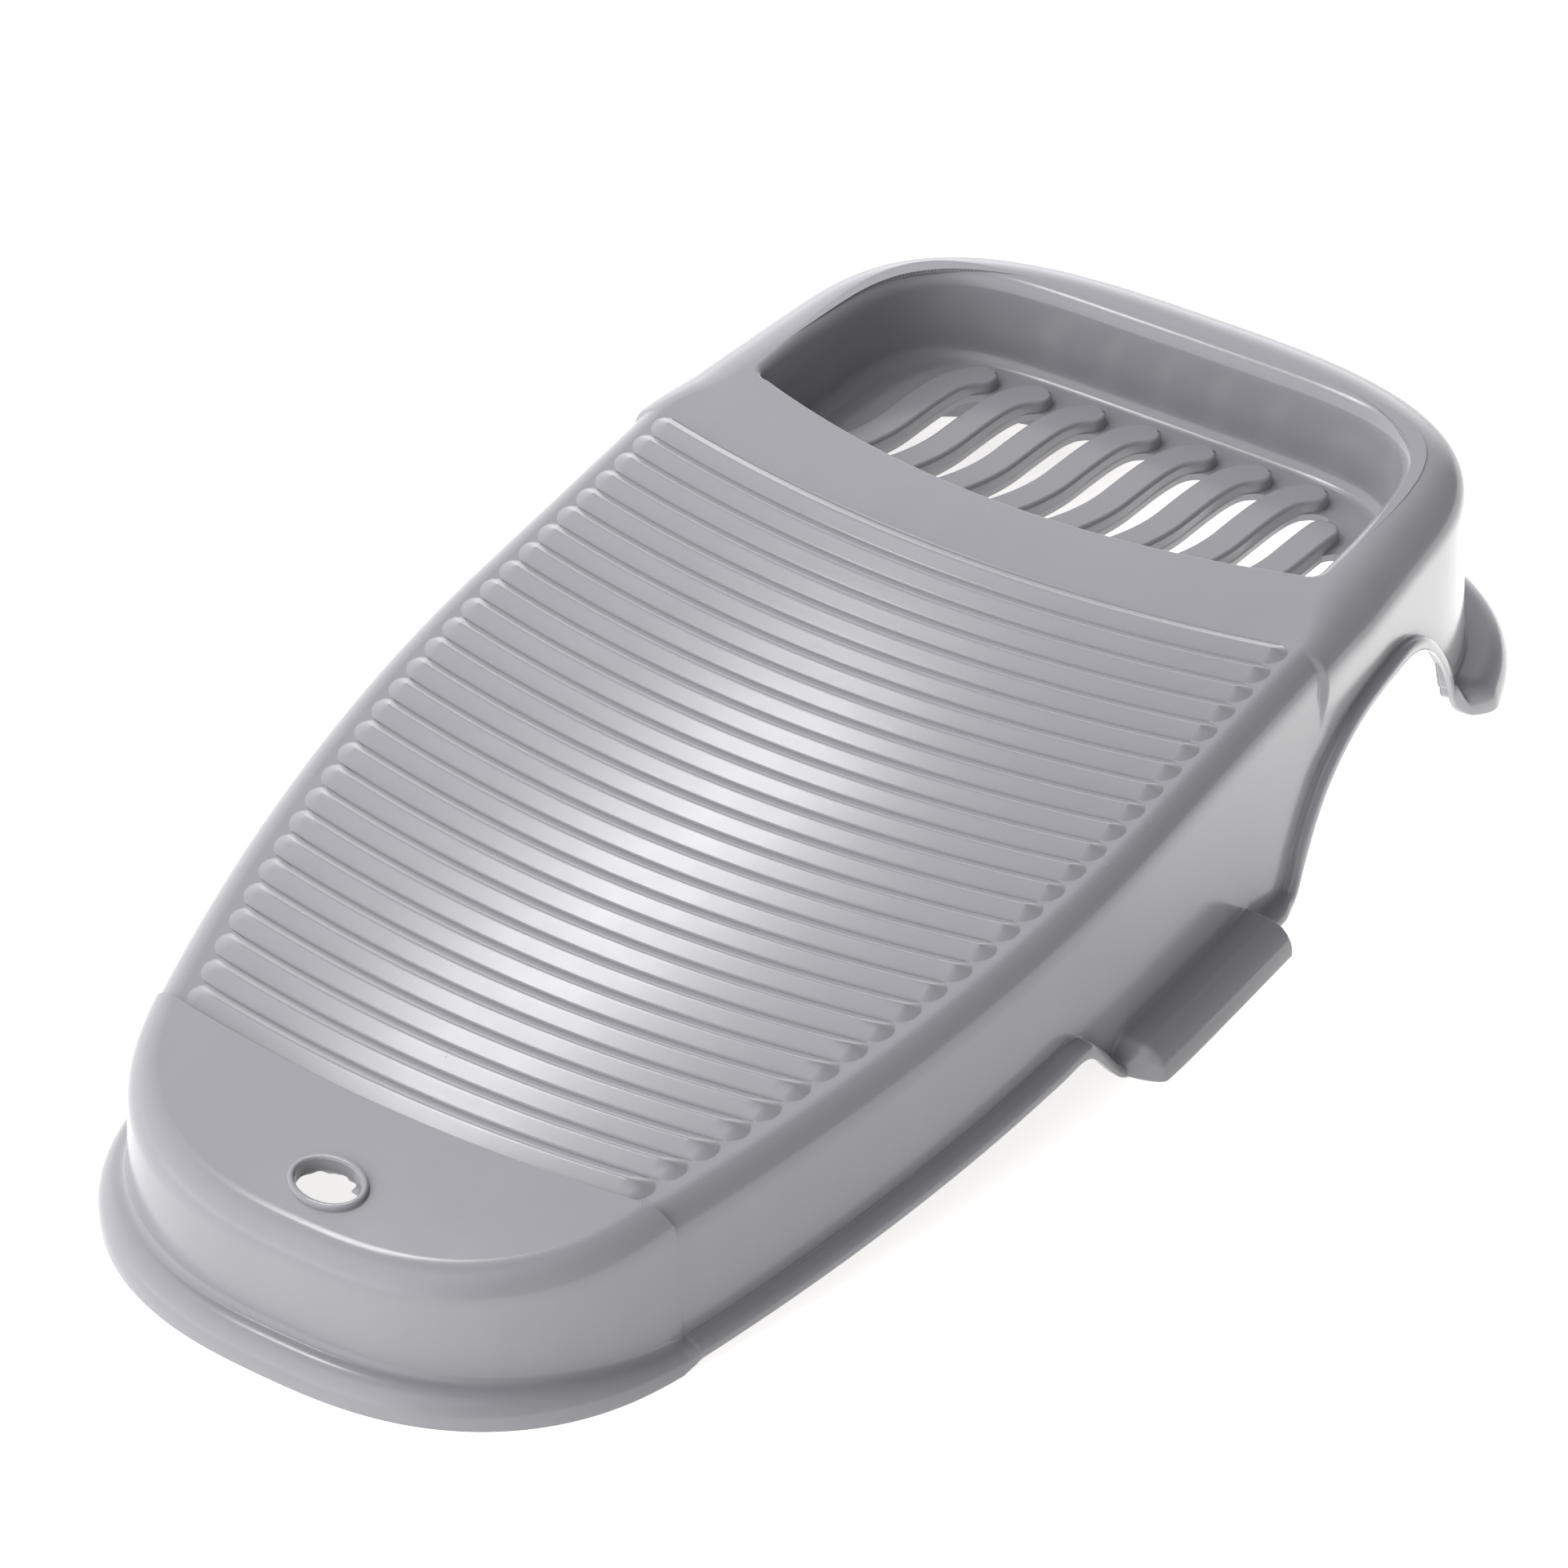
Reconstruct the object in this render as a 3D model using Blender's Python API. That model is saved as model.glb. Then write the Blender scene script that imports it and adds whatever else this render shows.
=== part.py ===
"""Ribbed plastic washboard with a drained soap tray.

A thin shell moulding: a sloping field of scrub ribs, a smooth apron with a hanging hole in
front, a soap tray with slatted floor behind, and a skirt all round that stands on a front
lip, two side ledges and a rear lip. Lengths are millimetres, turned into metres when a mesh
is made. +Z is up, -Y is the front (low) end, and the origin is at the middle of the base.
"""
import math

import bpy
import numpy as np

MM = 0.001
WALL = 2.5                 # wall thickness
GAP = 0.3                  # clearance kept between neighbouring regions
STEEP_GAP = 1.0            # clearance along the steep arches
CENTRE_Y = 10.99           # brings the middle of the length to y = 0

# Plan outline at the top of the skirt
HALF_WIDTH = 125.2         # widest half-width, from TAPER_START to the head
TAPER_START = 16.0         # y where the sides start to draw in towards the front
TAPER_RUN = 192.0
TAPER_DROP = 30.0          # half-width lost over TAPER_RUN
TAPER_POWER = 1.9
NOSE_START = -192.0        # y where the rounded nose begins
NOSE_REACH = 56.5
NOSE_POWER = 2.7
HEAD_START = 112.0         # y where the head begins
HEAD_WIDER = 2.2           # the head steps out this much
HEAD_WIDER_RUN = 3.0
HEAD_TAPER = 0.10          # half-width the head loses per unit of y
HEAD_EASE = 18.0
TAIL_START = 188.0         # y where the rounded rear begins
TAIL_REACH = 76.0
TAIL_POWER = 3.0

# Heights
SLOPE = 0.084              # rise of the scrub surface per unit of y
DECK_Y0 = -184.0
DECK_Z0 = 50.0             # scrub surface height at DECK_Y0
HEAD_Z = 76.5              # head height at its front
HEAD_SLOPE = 0.012
APRON_SLOPE = 0.20
APRON_Z0 = 52.0            # apron height at its rear edge
DISH = 0.00007             # sideways dish of the scrub field

# Scrub ribs
RIB_COUNT = 28
RIB_PITCH = 10.46
RIB_FIRST = -194.5         # y of the first rib's front valley, on the centre line
RIB_BOW = 0.00093          # the ribs bow towards the front: y grows with x squared
RIB_HEIGHT = 1.5
RIB_CREST = 0.60           # crest position within a pitch
RIB_BED = 0.6              # the plate lies this far below the valleys
RIB_FOOT = 0.05            # thickness of a rib at its valleys
RIB_THIN = 0.1             # thickness at the last slice of its rounded end
CREST_HALF = 0.3           # half of the flat along a crest
RIB_END_ANGLES = (75.0, 45.0)
RIB_INSET = 15.2           # rib ends to the skirt outline

# Shoulder and skirt
ROLL_WIDTH = 9.5
ROLL_DROP = 12.0
HEAD_ROLL_WIDTH = 16.0
HEAD_ROLL_DROP = 14.0
DRAFT = 0.06               # outward lean of the skirt per unit of drop
ROLL_EASE = 30.0           # run over which the shoulder grows to the head's size
RIM_STEP = 2.0             # half-length of the chord that gives the outline's direction

# Flange, lips and ledges along the bottom edge: reach outwards and height of the top
FLANGE = (6.5, 5.0)
FRONT_LIP = (10.5, 9.5)
FRONT_LIP_END_REACH = 6.0
REAR_LIP = (15.0, 9.5)
LEDGE = (17.0, 10.5)
FRONT_LIP_END = -189.0
LIP_SPREAD = 92.0          # half-width over which the lip narrows
LIP_POWER = 5
LEDGE_FRONT = -12.0
LEDGE_REAR = 70.0
REAR_LIP_START = 200.0

# Arches in the skirt's bottom edge
EDGE_START = 2.5           # height of the edge behind the front lip
EDGE_RISE = 0.109          # its rise per unit of y
LOW_ARCH_RISE = -46.0      # y where the low arch begins
LOW_ARCH_TOP = -33.0
LOW_ARCH_EXTRA = 1.6
LOW_ARCH_END = -11.0
ARCH_START = 90.0
ARCH_TOP = 158.0           # y of the highest point of the tall arch
ARCH_HEIGHT = 47.0
ARCH_POWER = 3.2
ARCH_FALL = 42.0
ARCH_FALL_POWER = 0.7

# Hanging hole
HOLE_Y = -226.0
HOLE_HALF = (12.6, 9.0)
HOLE_WALL = 2.0
HOLE_DEPTH = 4.6
HOLE_RIM = 1.6

# Soap tray
TRAY_FRONT = 127.0
TRAY_FRONT_BOW = 0.0018
TRAY_HALF = 104.0
TRAY_CENTRE = 140.0
TRAY_REACH = 101.0
TRAY_POWER = 4.0
TRAY_FLOOR = 46.0
TRAY_DRAFT = 6.0
SLAT_COUNT = 8
SLAT_PITCH = 20.7
SLAT_FIRST = -63.4         # x of the first slat's rear end
SLAT_WIDTH = 10.8
SLAT_HEIGHT = 4.2
SLAT_FRONT = 150.0
SLAT_REAR = 219.0          # y where a slat's rounded rear end begins
LAST_SLAT_REAR = 204.5
SLAT_SWAY = 4.5            # the rear ends swing sideways this much,
SLAT_SWAY_RUN = 16.0       # over this run
SLAT_SLANT = 0.15          # and the slats slant this much per unit of y
SLOT_FRONT = 156.0         # the floor is open between the slats from here
SLOT_REAR = 217.5          # to here,
LAST_SLOT_REAR = 201.0     # and beside the last slat to here
LAST_SLOT_SIDE = 88.0

GREY = (0.33, 0.33, 0.36, 1.0)


# ---------------------------------------------------------------- helpers

def smooth(t):
    t = min(max(t, 0.0), 1.0)
    return t * t * (3.0 - 2.0 * t)


def collection(name):
    made = bpy.data.collections.new(name)
    bpy.context.scene.collection.children.link(made)
    return made


def material(name, roughness):
    made = bpy.data.materials.new(name)
    made.use_nodes = True
    shader = made.node_tree.nodes["Principled BSDF"]
    shader.inputs["Base Color"].default_value = GREY
    shader.inputs["Roughness"].default_value = roughness
    shader.inputs["Metallic"].default_value = 0.0
    return made


def loft(name, sections, closed=False, roughness=0.3):
    """A closed body from equal closed sections, capped at both ends or joined in a ring."""
    count = len(sections[0])
    verts = [(x * MM, (y - CENTRE_Y) * MM, z * MM) for section in sections for x, y, z in section]
    faces = []
    spans = len(sections) if closed else len(sections) - 1
    for i in range(spans):
        a = i * count
        b = ((i + 1) % len(sections)) * count
        for j in range(count):
            k = (j + 1) % count
            faces.append((a + j, a + k, b + k, b + j))
    if not closed:
        last = (len(sections) - 1) * count
        for face in cap_faces(count):
            faces.append(face[::-1])
            faces.append(tuple(last + j for j in face))
    mesh = bpy.data.meshes.new(name)
    mesh.from_pydata(verts, [], faces)
    mesh.validate()
    volume = signed_volume(mesh)
    if volume < 0.0:
        mesh.flip_normals()
    mesh.materials.append(material(name + "_plastic", roughness))
    mesh.shade_smooth()
    mesh.set_sharp_from_angle(angle=math.radians(35.0))
    made = bpy.data.objects.new(name, mesh)
    PARTS.objects.link(made)
    return made


def cap_faces(count):
    """Strips across a section whose second half runs back along its first half."""
    faces = []
    for j in range(count // 2):
        back = count - 2 - j
        if j + 1 < back:
            faces.append((j, j + 1, back, back + 1))
        elif j + 1 == back:
            faces.append((j, back, back + 1))
    return faces


def signed_volume(mesh):
    mesh.calc_loop_triangles()
    total = 0.0
    for tri in mesh.loop_triangles:
        a, b, c = (mesh.vertices[i].co for i in tri.vertices)
        total += a.dot(b.cross(c))
    return total / 6.0


def cut(target, cutter):
    cutter.hide_render = True
    cutter.display_type = "WIRE"
    PARTS.objects.unlink(cutter)
    CUTTERS.objects.link(cutter)
    made = target.modifiers.new("cut", "BOOLEAN")
    made.operation = "DIFFERENCE"
    made.solver = "EXACT"
    made.object = cutter


# ---------------------------------------------------------------- plan outline

def side_half(y):
    back = max(TAPER_START - y, 0.0) / TAPER_RUN
    half = HALF_WIDTH - TAPER_DROP * back ** TAPER_POWER
    if y > HEAD_START - HEAD_WIDER_RUN:
        half += HEAD_WIDER * smooth((y - HEAD_START + HEAD_WIDER_RUN) / HEAD_WIDER_RUN)
    past = max(y - HEAD_START, 0.0)
    return half - HEAD_TAPER * (math.hypot(past, HEAD_EASE) - HEAD_EASE)


def outline_right():
    """Right half of the outline from the nose tip to the rear middle, densely sampled."""
    points = []
    for i in range(80):
        angle = math.radians(90.0 * (1.0 - i / 80.0))
        y = NOSE_START - NOSE_REACH * math.sin(angle) ** (2.0 / NOSE_POWER)
        points.append((side_half(y) * max(math.cos(angle), 0.0) ** (2.0 / NOSE_POWER), y))
    for i in range(160):
        y = NOSE_START + (TAIL_START - NOSE_START) * i / 160.0
        points.append((side_half(y), y))
    for i in range(81):
        angle = math.radians(90.0 * i / 80.0)
        y = TAIL_START + TAIL_REACH * math.sin(angle) ** (2.0 / TAIL_POWER)
        points.append((side_half(y) * max(math.cos(angle), 0.0) ** (2.0 / TAIL_POWER), y))
    points[0] = (0.0, NOSE_START - NOSE_REACH)
    points[-1] = (0.0, TAIL_START + TAIL_REACH)
    return np.array(points)


OUTLINE = outline_right()
STEPS = np.hypot(*np.diff(OUTLINE, axis=0).T)
RUN = np.concatenate([[0.0], np.cumsum(STEPS)])
HALF_LENGTH = RUN[-1]


def rim(s):
    """Outline point and outward normal at run s; s below zero is the left side."""
    side = -1.0 if s < 0.0 else 1.0
    t = min(abs(s), HALF_LENGTH)
    step = RIM_STEP
    x = np.interp(t, RUN, OUTLINE[:, 0])
    y = np.interp(t, RUN, OUTLINE[:, 1])
    ahead = min(t + step, HALF_LENGTH)
    behind = max(t - step, 0.0)
    dx = np.interp(ahead, RUN, OUTLINE[:, 0]) - np.interp(behind, RUN, OUTLINE[:, 0])
    dy = np.interp(ahead, RUN, OUTLINE[:, 1]) - np.interp(behind, RUN, OUTLINE[:, 1])
    if t < step:
        dy *= t / step
    if t > HALF_LENGTH - step:
        dy *= (HALF_LENGTH - t) / step
    size = math.hypot(dx, dy)
    return np.array([side * x, y]), np.array([side * dy / size, -dx / size])


def run_at(y):
    """Run along the right side where the outline passes y, away from the rounded ends."""
    return float(np.interp(y, OUTLINE[:, 1], RUN))


def inner_half(y, inset):
    """Half-width inside the outline by inset, at y."""
    inside = [rim(s)[0] - inset * rim(s)[1] for s in np.linspace(8.0, HALF_LENGTH - 8.0, 260)]
    inside = np.array(inside)
    return float(np.interp(y, inside[:, 1], inside[:, 0]))


# ---------------------------------------------------------------- heights

def deck_height(x, y):
    return DECK_Z0 + SLOPE * (y - DECK_Y0) + DISH * x * x


def head_height(x, y):
    return HEAD_Z + HEAD_SLOPE * (y - HEAD_START)


def top_height(x, y):
    """Height of the upper surface: apron, scrub field valleys or head."""
    if y < RIB_FIRST + RIB_BOW * x * x:
        return APRON_Z0 + APRON_SLOPE * (y - (RIB_FIRST + RIB_BOW * x * x))
    if y > HEAD_START:
        return head_height(x, y)
    return deck_height(x, y)


def edge_height(y):
    """Height of the skirt's bottom edge: a rising line, a low arch, ground and a tall arch."""
    if y < FRONT_LIP_END or y > ARCH_TOP + ARCH_FALL:
        return 0.0
    if y < ARCH_START:
        rising = EDGE_START + EDGE_RISE * (min(y, LOW_ARCH_RISE) - FRONT_LIP_END)
        rising += LOW_ARCH_EXTRA * smooth((y - LOW_ARCH_RISE) / (LOW_ARCH_TOP - LOW_ARCH_RISE))
        return rising * (1.0 - smooth((y - LOW_ARCH_TOP) / (LOW_ARCH_END - LOW_ARCH_TOP)))
    if y < ARCH_TOP:
        left = 1.0 - (y - ARCH_START) / (ARCH_TOP - ARCH_START)
        return ARCH_HEIGHT * (1.0 - left ** ARCH_POWER)
    return ARCH_HEIGHT * (1.0 - ((y - ARCH_TOP) / ARCH_FALL) ** 2) ** ARCH_FALL_POWER


def roll_size(y):
    blend = smooth((y - HEAD_START) / ROLL_EASE)
    width = ROLL_WIDTH + (HEAD_ROLL_WIDTH - ROLL_WIDTH) * blend
    drop = ROLL_DROP + (HEAD_ROLL_DROP - ROLL_DROP) * blend
    return width, drop


# ---------------------------------------------------------------- perimeter sections

def place(point, normal, offset, height):
    return (point[0] + offset * normal[0], point[1] + offset * normal[1], height)


def skirt_section(s, flange):
    """Shoulder roll and skirt wall as one closed section, ending above the flange."""
    point, normal = rim(s)
    width, drop = roll_size(point[1])
    inner = point - width * normal
    top = top_height(inner[0], inner[1])
    bottom = edge_height(point[1]) + flange[1]
    outer = []
    inside = []
    for i in range(5):
        angle = math.radians(22.5 * i)
        outer.append((-width + width * math.sin(angle), top - drop * (1.0 - math.cos(angle))))
        inside.append((-width + (width - WALL) * math.sin(angle),
                       top - WALL - (drop - WALL) * (1.0 - math.cos(angle))))
    shoulder = top - drop
    lean = DRAFT * max(shoulder - bottom, 1.0)
    outer.append((lean, bottom))
    inside.append((lean - WALL, bottom))
    loop = outer + inside[::-1]
    return [place(point, normal, offset, height) for offset, height in loop]


def flange_section(s, flange):
    """Out-turned edge: top leaf, rounded corner and outer wall, open underneath."""
    point, normal = rim(s)
    width, drop = roll_size(point[1])
    inner = point - width * normal
    shoulder = top_height(inner[0], inner[1]) - drop
    base = edge_height(point[1])
    reach = flange[0]
    if flange is FRONT_LIP:
        reach -= (reach - FRONT_LIP_END_REACH) * min(abs(point[0]) / LIP_SPREAD, 1.0) ** LIP_POWER
    top = base + flange[1] - (STEEP_GAP if flange is FLANGE else GAP)
    lean = DRAFT * max(shoulder - base - flange[1], 1.0)
    radius = min(0.55 * reach, flange[1] - 1.5, 5.0)
    wall = min(WALL, 0.4 * reach)
    outer = [(lean - WALL, top)]
    inside = [(lean - WALL, top - wall)]
    for i in range(4):
        angle = math.radians(30.0 * i)
        outer.append((lean + reach - radius + radius * math.sin(angle),
                      top - radius * (1.0 - math.cos(angle))))
        small = max(radius - wall, 0.4)
        inside.append((lean + reach - wall - small + small * math.sin(angle),
                       top - wall - small * (1.0 - math.cos(angle))))
    outer.append((lean + reach, base))
    inside.append((lean + reach - wall, base))
    loop = outer + inside[::-1]
    return [place(point, normal, offset, height) for offset, height in loop]


def make_skirt(name, start, end, count):
    loft(name, [skirt_section(s, flange_at(s)) for s in np.linspace(start, end, count)])


def flange_at(s):
    y = rim(s)[0][1]
    if y < FRONT_LIP_END:
        return FRONT_LIP
    if y > REAR_LIP_START:
        return REAR_LIP
    if LEDGE_FRONT < y < LEDGE_REAR:
        return LEDGE
    return FLANGE


def make_flange(name, start, end, count, flange):
    loft(name, [flange_section(s, flange) for s in np.linspace(start, end, count)])


def make_perimeter():
    lip_end = run_at(FRONT_LIP_END)
    head = run_at(HEAD_START)
    ledge_front = run_at(LEDGE_FRONT)
    ledge_rear = run_at(LEDGE_REAR)
    rear_lip = run_at(REAR_LIP_START)
    half_gap = GAP / 2.0
    make_skirt("front_skirt", -lip_end + half_gap, lip_end - half_gap, 33)
    make_flange("front_lip", -lip_end + half_gap, lip_end - half_gap, 33, FRONT_LIP)
    for name, side in (("right", 1.0), ("left", -1.0)):
        spans = ((lip_end, ledge_front, 15, FLANGE, "_front"),
                 (ledge_front, ledge_rear, 5, LEDGE, "_middle"),
                 (ledge_rear, rear_lip, 27, FLANGE, "_rear"))
        for start, end, count, flange, place_name in spans:
            inner = sorted((side * (start + half_gap), side * (end - half_gap)))
            make_skirt(name + place_name + "_skirt", inner[0], inner[1], count)
            kind = "_side_ledge" if flange is LEDGE else place_name + "_flange"
            make_flange(name + kind, inner[0], inner[1], count, flange)
    make_rear(rear_lip + half_gap)


def make_rear(start):
    """The skirt and lip that wrap the rear end, from one rear corner to the other."""
    rear = list(np.linspace(start, HALF_LENGTH, 15))
    runs = rear + [-s for s in rear[-2::-1]]
    loft("rear_skirt", [skirt_section(s, REAR_LIP) for s in runs])
    loft("rear_lip", [flange_section(s, REAR_LIP) for s in runs])


# ---------------------------------------------------------------- scrub field

def row_half(q, inset):
    """Half-width of a bowed row whose centre is at y = q."""
    x = side_half(q) - inset
    for _ in range(4):
        x = inner_half(q + RIB_BOW * x * x, inset)
    return x


def plate_section(xs, ys, top):
    upper = [(x, y, top(x, y)) for x, y in zip(xs, ys)]
    lower = [(x, y, z - WALL) for x, y, z in upper]
    return upper + lower[::-1]


def make_scrub_deck():
    first = RIB_FIRST + GAP / 2.0
    last = RIB_FIRST + RIB_COUNT * RIB_PITCH - GAP / 2.0
    sections = []
    for q in np.linspace(first, last, 15):
        half = row_half(q, ROLL_WIDTH + 3.0 * GAP)
        xs = np.linspace(-half, half, 11)
        ys = q + RIB_BOW * xs * xs
        sections.append(plate_section(xs, ys, lambda x, y: deck_height(x, y) - RIB_BED))
    loft("scrub_deck", sections)


def rib_section(x, front, half, crest, height):
    """One slice across a rib; front is the front valley's y on this slice."""
    bed = RIB_BED - GAP
    mid = front + RIB_PITCH / 2.0
    profile = ((mid - half, -bed), (mid - half, RIB_FOOT), (crest - CREST_HALF, height),
               (crest + CREST_HALF, height), (mid + half, RIB_FOOT), (mid + half, -bed))
    return [(x, y, deck_height(x, y) + z) for y, z in profile]


def make_rib(number):
    front = RIB_FIRST + (number - 1) * RIB_PITCH
    end = min(row_half(front, RIB_INSET), row_half(front + RIB_PITCH, RIB_INSET))
    radius = RIB_PITCH / 2.0 - GAP / 2.0
    stations = [(-end - radius * math.sin(math.radians(a)), math.cos(math.radians(a)),
                 1.0 - math.sin(math.radians(a))) for a in RIB_END_ANGLES]
    stations += [(x, 1.0, 1.0) for x in np.linspace(-end, end, 9)]
    stations += [(-x, width, rise) for x, width, rise in stations[1::-1]]
    sections = []
    for x, width, rise in stations:
        row = front + RIB_BOW * x * x
        crest = row + RIB_PITCH * (0.5 + (RIB_CREST - 0.5) * width)
        sections.append(rib_section(x, row, radius * width, crest, max(RIB_HEIGHT * rise, RIB_THIN)))
    loft("scrub_rib_%02d" % number, sections, roughness=0.25)


# ---------------------------------------------------------------- apron

def apron_edges(x):
    """Rear and front y of the apron on the line at x."""
    inset = ROLL_WIDTH + GAP
    inside = np.array([rim(s)[0] - inset * rim(s)[1] for s in np.linspace(0.0, 200.0, 120)])
    nose = inside[inside[:, 1] < RIB_FIRST + 25.0]
    return RIB_FIRST - GAP / 2.0 + RIB_BOW * x * x, float(np.interp(abs(x), nose[:, 0], nose[:, 1]))


def make_apron():
    reach = row_half(RIB_FIRST, ROLL_WIDTH + GAP) - 0.6
    sections = []
    for x in np.linspace(-reach, reach, 21):
        rear, front = apron_edges(x)
        ys = np.linspace(min(front, rear - 1.5), rear, 7)
        sections.append(plate_section([x] * len(ys), ys, top_height))
    apron = loft("front_apron", sections)
    cutter = oval("hang_hole_cutter", HOLE_HALF[0] + GAP, HOLE_HALF[1] + GAP, 30.0, 60.0)
    cut(apron, cutter)


def oval(name, half_x, half_y, low, high):
    """An upright oval column at the hanging hole."""
    rings = []
    for z in (low, high):
        rings.append([(half_x * math.cos(a), HOLE_Y + half_y * math.sin(a), z)
                      for a in np.linspace(0.0, 2.0 * math.pi, 32, endpoint=False)])
    return loft(name, rings)


def make_collar():
    top = top_height(0.0, HOLE_Y) + HOLE_RIM
    sections = []
    for angle in np.linspace(0.0, 2.0 * math.pi, 32, endpoint=False):
        slant = APRON_SLOPE * HOLE_HALF[1] * math.sin(angle)
        low = top + slant - HOLE_DEPTH
        section = []
        for shrink, z in ((0.0, low), (0.0, top + slant), (HOLE_WALL, top + slant), (HOLE_WALL, low)):
            section.append(((HOLE_HALF[0] - shrink) * math.cos(angle),
                            HOLE_Y + (HOLE_HALF[1] - shrink) * math.sin(angle), z))
        sections.append(section)
    loft("hang_hole_collar", sections, closed=True)


# ---------------------------------------------------------------- head and tray

def tray_front_y(x):
    return TRAY_FRONT + TRAY_FRONT_BOW * x * x


def tray_outline(inset, count=48):
    """The tray opening as a closed loop, drawn in by inset; starts at the front middle."""
    half = TRAY_HALF - inset
    reach = TRAY_REACH - inset
    corner = half - 5.0
    front = [(x, tray_front_y(x) + inset) for x in np.linspace(0.0, corner, count // 6)]
    points = list(front)
    start = tray_front_y(corner) + inset + 5.0
    first = math.asin(((start - TRAY_CENTRE) / reach) ** (TRAY_POWER / 2.0))
    for angle in np.linspace(first, math.pi / 2.0, count // 3):
        points.append((half * max(math.cos(angle), 0.0) ** (2.0 / TRAY_POWER),
                       TRAY_CENTRE + reach * math.sin(angle) ** (2.0 / TRAY_POWER)))
    points[-1] = (0.0, TRAY_CENTRE + reach)
    return points + [(-x, y) for x, y in points[-2:0:-1]]


def roll_reach(x):
    """Largest y beside the tray at which x is still inside the shoulder roll."""
    reach = HEAD_START
    for y in np.linspace(HEAD_START, SLAT_FRONT, 39):
        if inner_half(y, roll_size(y)[0] + GAP) > x:
            reach = y
    return reach


def make_head_band():
    """Smooth band between the last rib and the front edge of the tray."""
    last = RIB_FIRST + RIB_COUNT * RIB_PITCH + GAP / 2.0
    reach = row_half(last, ROLL_WIDTH + GAP) - 0.5
    xs = np.linspace(-reach, reach, 25)
    sections = []
    for x in xs:
        start = last + RIB_BOW * x * x
        end = min(tray_front_y(min(abs(x), TRAY_HALF - 5.0)), roll_reach(abs(x))) - GAP
        ys = np.linspace(start, end, 3)
        sections.append(plate_section([x] * 3, ys, head_height))
    loft("head_band", sections)


def make_tray_rim():
    """Crowned rim round the sides and rear of the tray, inside the shoulder roll."""
    opening = tray_outline(-GAP, 96)
    half = [p for p in opening[:len(opening) // 2 + 1] if p[1] > tray_front_y(TRAY_HALF) + 2.0]
    outer = []
    fractions = np.linspace(0.0, 1.0, len(half))
    first = run_at(half[0][1] + 0.5)
    for fraction in fractions:
        point, normal = rim(first + (HALF_LENGTH - first) * fraction)
        width = roll_size(point[1])[0]
        outer.append(point - (width + GAP) * normal)
    right = []
    for (x0, y0), (x1, y1) in zip(half, outer):
        line = [(x0 + (x1 - x0) * f, y0 + (y1 - y0) * f) for f in (0.0, 0.5, 1.0)]
        right.append([(x, y, head_height(x, y)) for x, y in line])
    left = [[(-x, y, z) for x, y, z in row] for row in right[-2::-1]]
    sections = []
    for row in right + left:
        sections.append(row + [(x, y, z - WALL) for x, y, z in row[::-1]])
    loft("tray_rim", sections)


def make_tray_wall():
    """Leaning wall of the soap tray, a closed ring from the rim down to the floor."""
    top_loop = tray_outline(0.0)
    low_loop = tray_outline(TRAY_DRAFT)
    top_inner = tray_outline(WALL)
    low_inner = tray_outline(TRAY_DRAFT + WALL)
    sections = []
    for a, b, c, d in zip(top_loop, low_loop, top_inner, low_inner):
        section = [(a[0], a[1], head_height(*a) - WALL - GAP), (b[0], b[1], TRAY_FLOOR),
                   (d[0], d[1], TRAY_FLOOR), (c[0], c[1], head_height(*a) - WALL - GAP)]
        sections.append(section)
    loft("tray_wall", sections, closed=True)


def slat_centre(index, y):
    rear = SLAT_FIRST + index * SLAT_PITCH
    sway = SLAT_SWAY * smooth((SLAT_REAR - y) / SLAT_SWAY_RUN)
    return rear - sway - SLAT_SLANT * max(SLAT_REAR - y, 0.0)


def make_tray_floor():
    """Flat ledge round the floor; the slats bridge the opening in it."""
    outer = tray_outline(TRAY_DRAFT - 1.0)
    low = TRAY_FLOOR - GAP
    rings = [[(x, y, low - WALL) for x, y in outer], [(x, y, low) for x, y in outer]]
    floor = loft("tray_floor", rings)
    plan = ((slat_centre(0, SLOT_FRONT) + 1.0, SLOT_FRONT), (LAST_SLOT_SIDE, SLOT_FRONT),
            (LAST_SLOT_SIDE, LAST_SLOT_REAR), (slat_centre(SLAT_COUNT - 1, SLAT_FRONT), SLOT_REAR),
            (0.0, SLOT_REAR), (slat_centre(0, SLOT_REAR) + 1.0, SLOT_REAR))
    box = [[(x, y, low + rise) for x, y in plan] for rise in (-10.0, 10.0)]
    cut(floor, loft("floor_opening_cutter", box))


def make_slat(index):
    sections = []
    rear = SLAT_REAR if index < SLAT_COUNT - 1 else LAST_SLAT_REAR
    radius = SLAT_WIDTH / 2.0
    stations = [(y, 1.0) for y in np.linspace(SLAT_FRONT, rear, 11)]
    for degrees in (30.0, 55.0, 75.0):
        angle = math.radians(degrees)
        stations.append((rear + radius * math.sin(angle), math.cos(angle)))
    for y, width in stations:
        x = slat_centre(index, y)
        half = radius * width
        profile = ((-half, 0.0), (-half, 0.7 * SLAT_HEIGHT), (-0.85 * half, SLAT_HEIGHT),
                   (0.85 * half, SLAT_HEIGHT), (half, 0.7 * SLAT_HEIGHT), (half, 0.0))
        sections.append([(x + dx, y, TRAY_FLOOR + dz) for dx, dz in profile])
    loft("tray_slat_%d" % (index + 1), sections)


def main():
    make_perimeter()
    make_scrub_deck()
    for number in range(1, RIB_COUNT + 1):
        make_rib(number)
    make_apron()
    make_collar()
    make_head_band()
    make_tray_rim()
    make_tray_wall()
    make_tray_floor()
    for index in range(SLAT_COUNT):
        make_slat(index)


for old in list(bpy.data.objects):
    bpy.data.objects.remove(old, do_unlink=True)
PARTS = collection("washboard")
CUTTERS = collection("cutters")
main()
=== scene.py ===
import math

import bpy
import numpy as np
from mathutils import Matrix, Vector


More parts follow.
